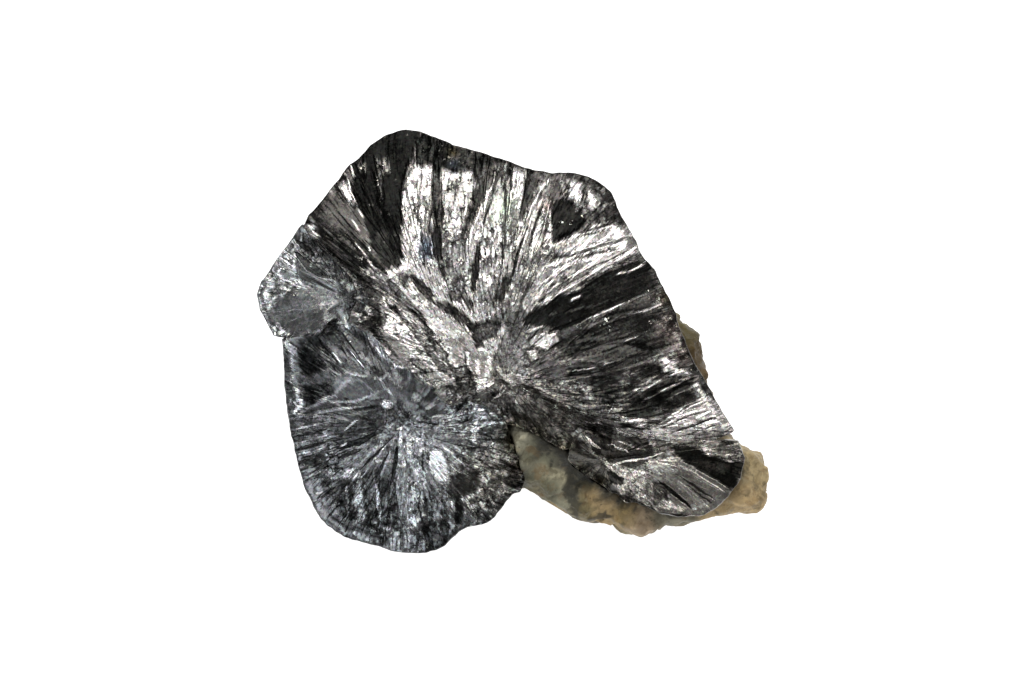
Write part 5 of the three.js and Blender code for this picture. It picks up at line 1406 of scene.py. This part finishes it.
def makeBrokenStone(name, look):
    material = bpy.data.materials.new(name)
    material.use_nodes = True
    material.node_tree.nodes.clear()
    stone = addNode(material, "Attribute", {"attribute_name": "stone"}).outputs["Color"]
    film = addNode(material, "Attribute", {"attribute_name": "film"}).outputs["Fac"]
    place = addNode(material, "TexCoord").outputs["Object"]
    clouds = {"Scale": 1 / (look["cloud"] * mm), **look["cloudFractal"]}
    cloud = addNode(material, "TexNoise", clouds, {"Vector": place})
    push = {"operation": "MULTIPLY_ADD", 1: (look["cloudPush"] * mm,) * 3}
    bent = addNode(material, "VectorMath", push, {0: cloud.outputs["Color"], 2: place}).outputs[0]
    grain = addNode(material, "TexVoronoi", {"Scale": 1 / (look["grain"] * mm)}, {"Vector": bent})
    # each grain a little lighter or darker than its neighbour, clouded through
    least, most = look["grainLight"]
    light = {"To Min": least, "To Max": most}
    lightness = addNode(material, "MapRange", light, {"Value": grain.outputs["Color"]}).outputs[0]
    start, end, least, most = look["cloudLight"]
    light = {"From Min": start, "From Max": end, "To Min": least, "To Max": most}
    clouded = addNode(material, "MapRange", light, {"Value": cloud.outputs["Fac"]}).outputs[0]
    lightness = addNode(material, "Math", {"operation": "MULTIPLY"}, {0: lightness, 1: clouded}).outputs[0]
    colour = addNode(
        material, "VectorMath", {"operation": "SCALE"}, {0: stone, "Scale": lightness}
    ).outputs[0]
    # stained stone is dark all through, so it shows few mottles
    start, end, least = look["stained"]
    shown = {"From Min": start, "From Max": end, "To Min": least}
    clean = addNode(material, "MapRange", shown, {"Value": stone}).outputs[0]
    stepX, stepY = look["mottleStep"]
    for k, (mottle, across, start, end, most) in enumerate(look["mottles"]):
        step = {"Location": (stepX * k * mm, stepY * k * mm, 0)}
        moved = addNode(material, "Mapping", step, {"Vector": bent}).outputs[0]
        size = {"Scale": 1 / (across * mm), **look["mottleFractal"]}
        noise = addNode(material, "TexNoise", size, {"Vector": moved}).outputs["Fac"]
        amount = {"From Min": start, "From Max": end, "To Max": most}
        share = addNode(material, "MapRange", amount, {"Value": noise}).outputs[0]
        share = addNode(material, "Math", {"operation": "MULTIPLY"}, {0: share, 1: clean}).outputs[0]
        colour = addNode(
            material, "Mix", {"data_type": "RGBA", 7: linear(mottle)}, {0: share, 6: colour}
        ).outputs[2]
    # leaf foil smeared on the stone is patchy
    swing = {"operation": "MULTIPLY_ADD", 1: look["filmPatchy"], 2: -look["filmPatchy"] / 2}
    patchy = addNode(material, "Math", swing, {0: cloud.outputs["Fac"]}).outputs[0]
    patchy = addNode(material, "Math", {"operation": "ADD"}, {0: patchy, 1: film}).outputs[0]
    start, end = look["filmFrom"]
    foiled = addNode(
        material, "MapRange", {"From Min": start, "From Max": end}, {"Value": patchy}
    ).outputs[0]
    smear = {"data_type": "RGBA", 7: linear(look["filmColour"])}
    colour = addNode(material, "Mix", smear, {0: foiled, 6: colour}).outputs[2]
    metallic = addNode(
        material, "Math", {"operation": "MULTIPLY", 1: look["filmMetal"]}, {0: foiled}
    ).outputs[0]
    least, most = look["roughness"]
    dull = {"To Min": least, "To Max": most}
    roughness = addNode(material, "MapRange", dull, {"Value": grain.outputs["Color"]}).outputs[0]
    dome = {"operation": "MULTIPLY_ADD", 1: look["domed"]}
    height = addNode(material, "Math", dome, {0: grain.outputs["Distance"], 2: noise}).outputs[0]
    relief = {"Strength": look["bumpShare"], "Distance": look["bump"] * mm}
    bump = addNode(material, "Bump", relief, {"Height": height}).outputs[0]
    gloss = {"IOR": look["ior"], "Specular IOR Level": look["specular"]}
    links = {"Base Color": colour, "Metallic": metallic, "Roughness": roughness, "Normal": bump}
    surface = addNode(material, "BsdfPrincipled", gloss, links)
    addNode(material, "OutputMaterial", {}, {"Surface": surface.outputs[0]})
    return material


stonePiece = breakStone(rock)
stonePiece.data.materials.append(makeBrokenStone("quartz_feldspar_broken", brokenStone))
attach(stonePiece, "root")
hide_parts(rock["node"])
print("broken:", rock["name"], len(stonePiece.data.polygons), "faces")

# floor, camera and lights; lengths are millimetres
studio = {
    "cameraHeight": 1225, "lens": 300, "sensor": 36,
    "floorRadius": 3500, "floorSides": 96, "floorColour": "#D6D6D6", "floorRoughness": 0.9,
    "floorGlow": 0.85,
    "roomColour": "#FFFFFF", "roomStrength": 0.2,
    # name, lean from straight above, turn from +Y to +X, distance, side, watts, colour
    "softboxes": [
        ("key", 38, -8, 700, 640, 5.0, "#FFFFFF"),
        ("fill", 36, 218, 700, 500, 1.6, "#F6FAFF"),
        ("right", 48, 100, 700, 400, 0.8, "#FFFFFF"),
    ],
}
bm = bmesh.new()
bmesh.ops.create_circle(bm, cap_ends=True, segments=studio["floorSides"], radius=studio["floorRadius"] * mm)
floorMesh = bpy.data.meshes.new("floor")
bm.to_mesh(floorMesh)
bm.free()
floor = addPiece("floor", floorMesh)
paper = bpy.data.materials.new("matt_white_paper")
paper.use_nodes = True
sheet = paper.node_tree.nodes["Principled BSDF"].inputs
sheet["Base Color"].default_value = linear(studio["floorColour"])
sheet["Roughness"].default_value = studio["floorRoughness"]
sheet["Emission Color"].default_value = (1, 1, 1, 1)
sheet["Emission Strength"].default_value = studio["floorGlow"]
floor.data.materials.append(paper)

camera = bpy.data.cameras.new("camera")
camera.lens = studio["lens"]
camera.sensor_width = studio["sensor"]
eye = bpy.data.objects.new("camera", camera)
eye.location = (0, 0, studio["cameraHeight"] * mm)
bpy.context.collection.objects.link(eye)
bpy.context.scene.camera = eye

for name, lean, turn, distance, side, power, colour in studio["softboxes"]:
    light = bpy.data.lights.new(name, "AREA")
    light.shape = "SQUARE"
    light.size = side * mm
    light.energy = power
    light.color = linear(colour)[:3]
    lamp = bpy.data.objects.new(name, light)
    a, b = math.radians(lean), math.radians(turn)
    direction = Vector((math.sin(a) * math.sin(b), math.sin(a) * math.cos(b), math.cos(a)))
    lamp.location = direction * distance * mm
    lamp.rotation_euler = direction.to_track_quat("Z", "Y").to_euler()
    bpy.context.collection.objects.link(lamp)
room = bpy.data.worlds.new("room")
room.use_nodes = True
room.node_tree.nodes["Background"].inputs[0].default_value = linear(studio["roomColour"])
room.node_tree.nodes["Background"].inputs[1].default_value = studio["roomStrength"]
bpy.context.scene.world = room
bpy.context.scene.view_settings.view_transform = "Standard"
print("floor, camera and lights are set")
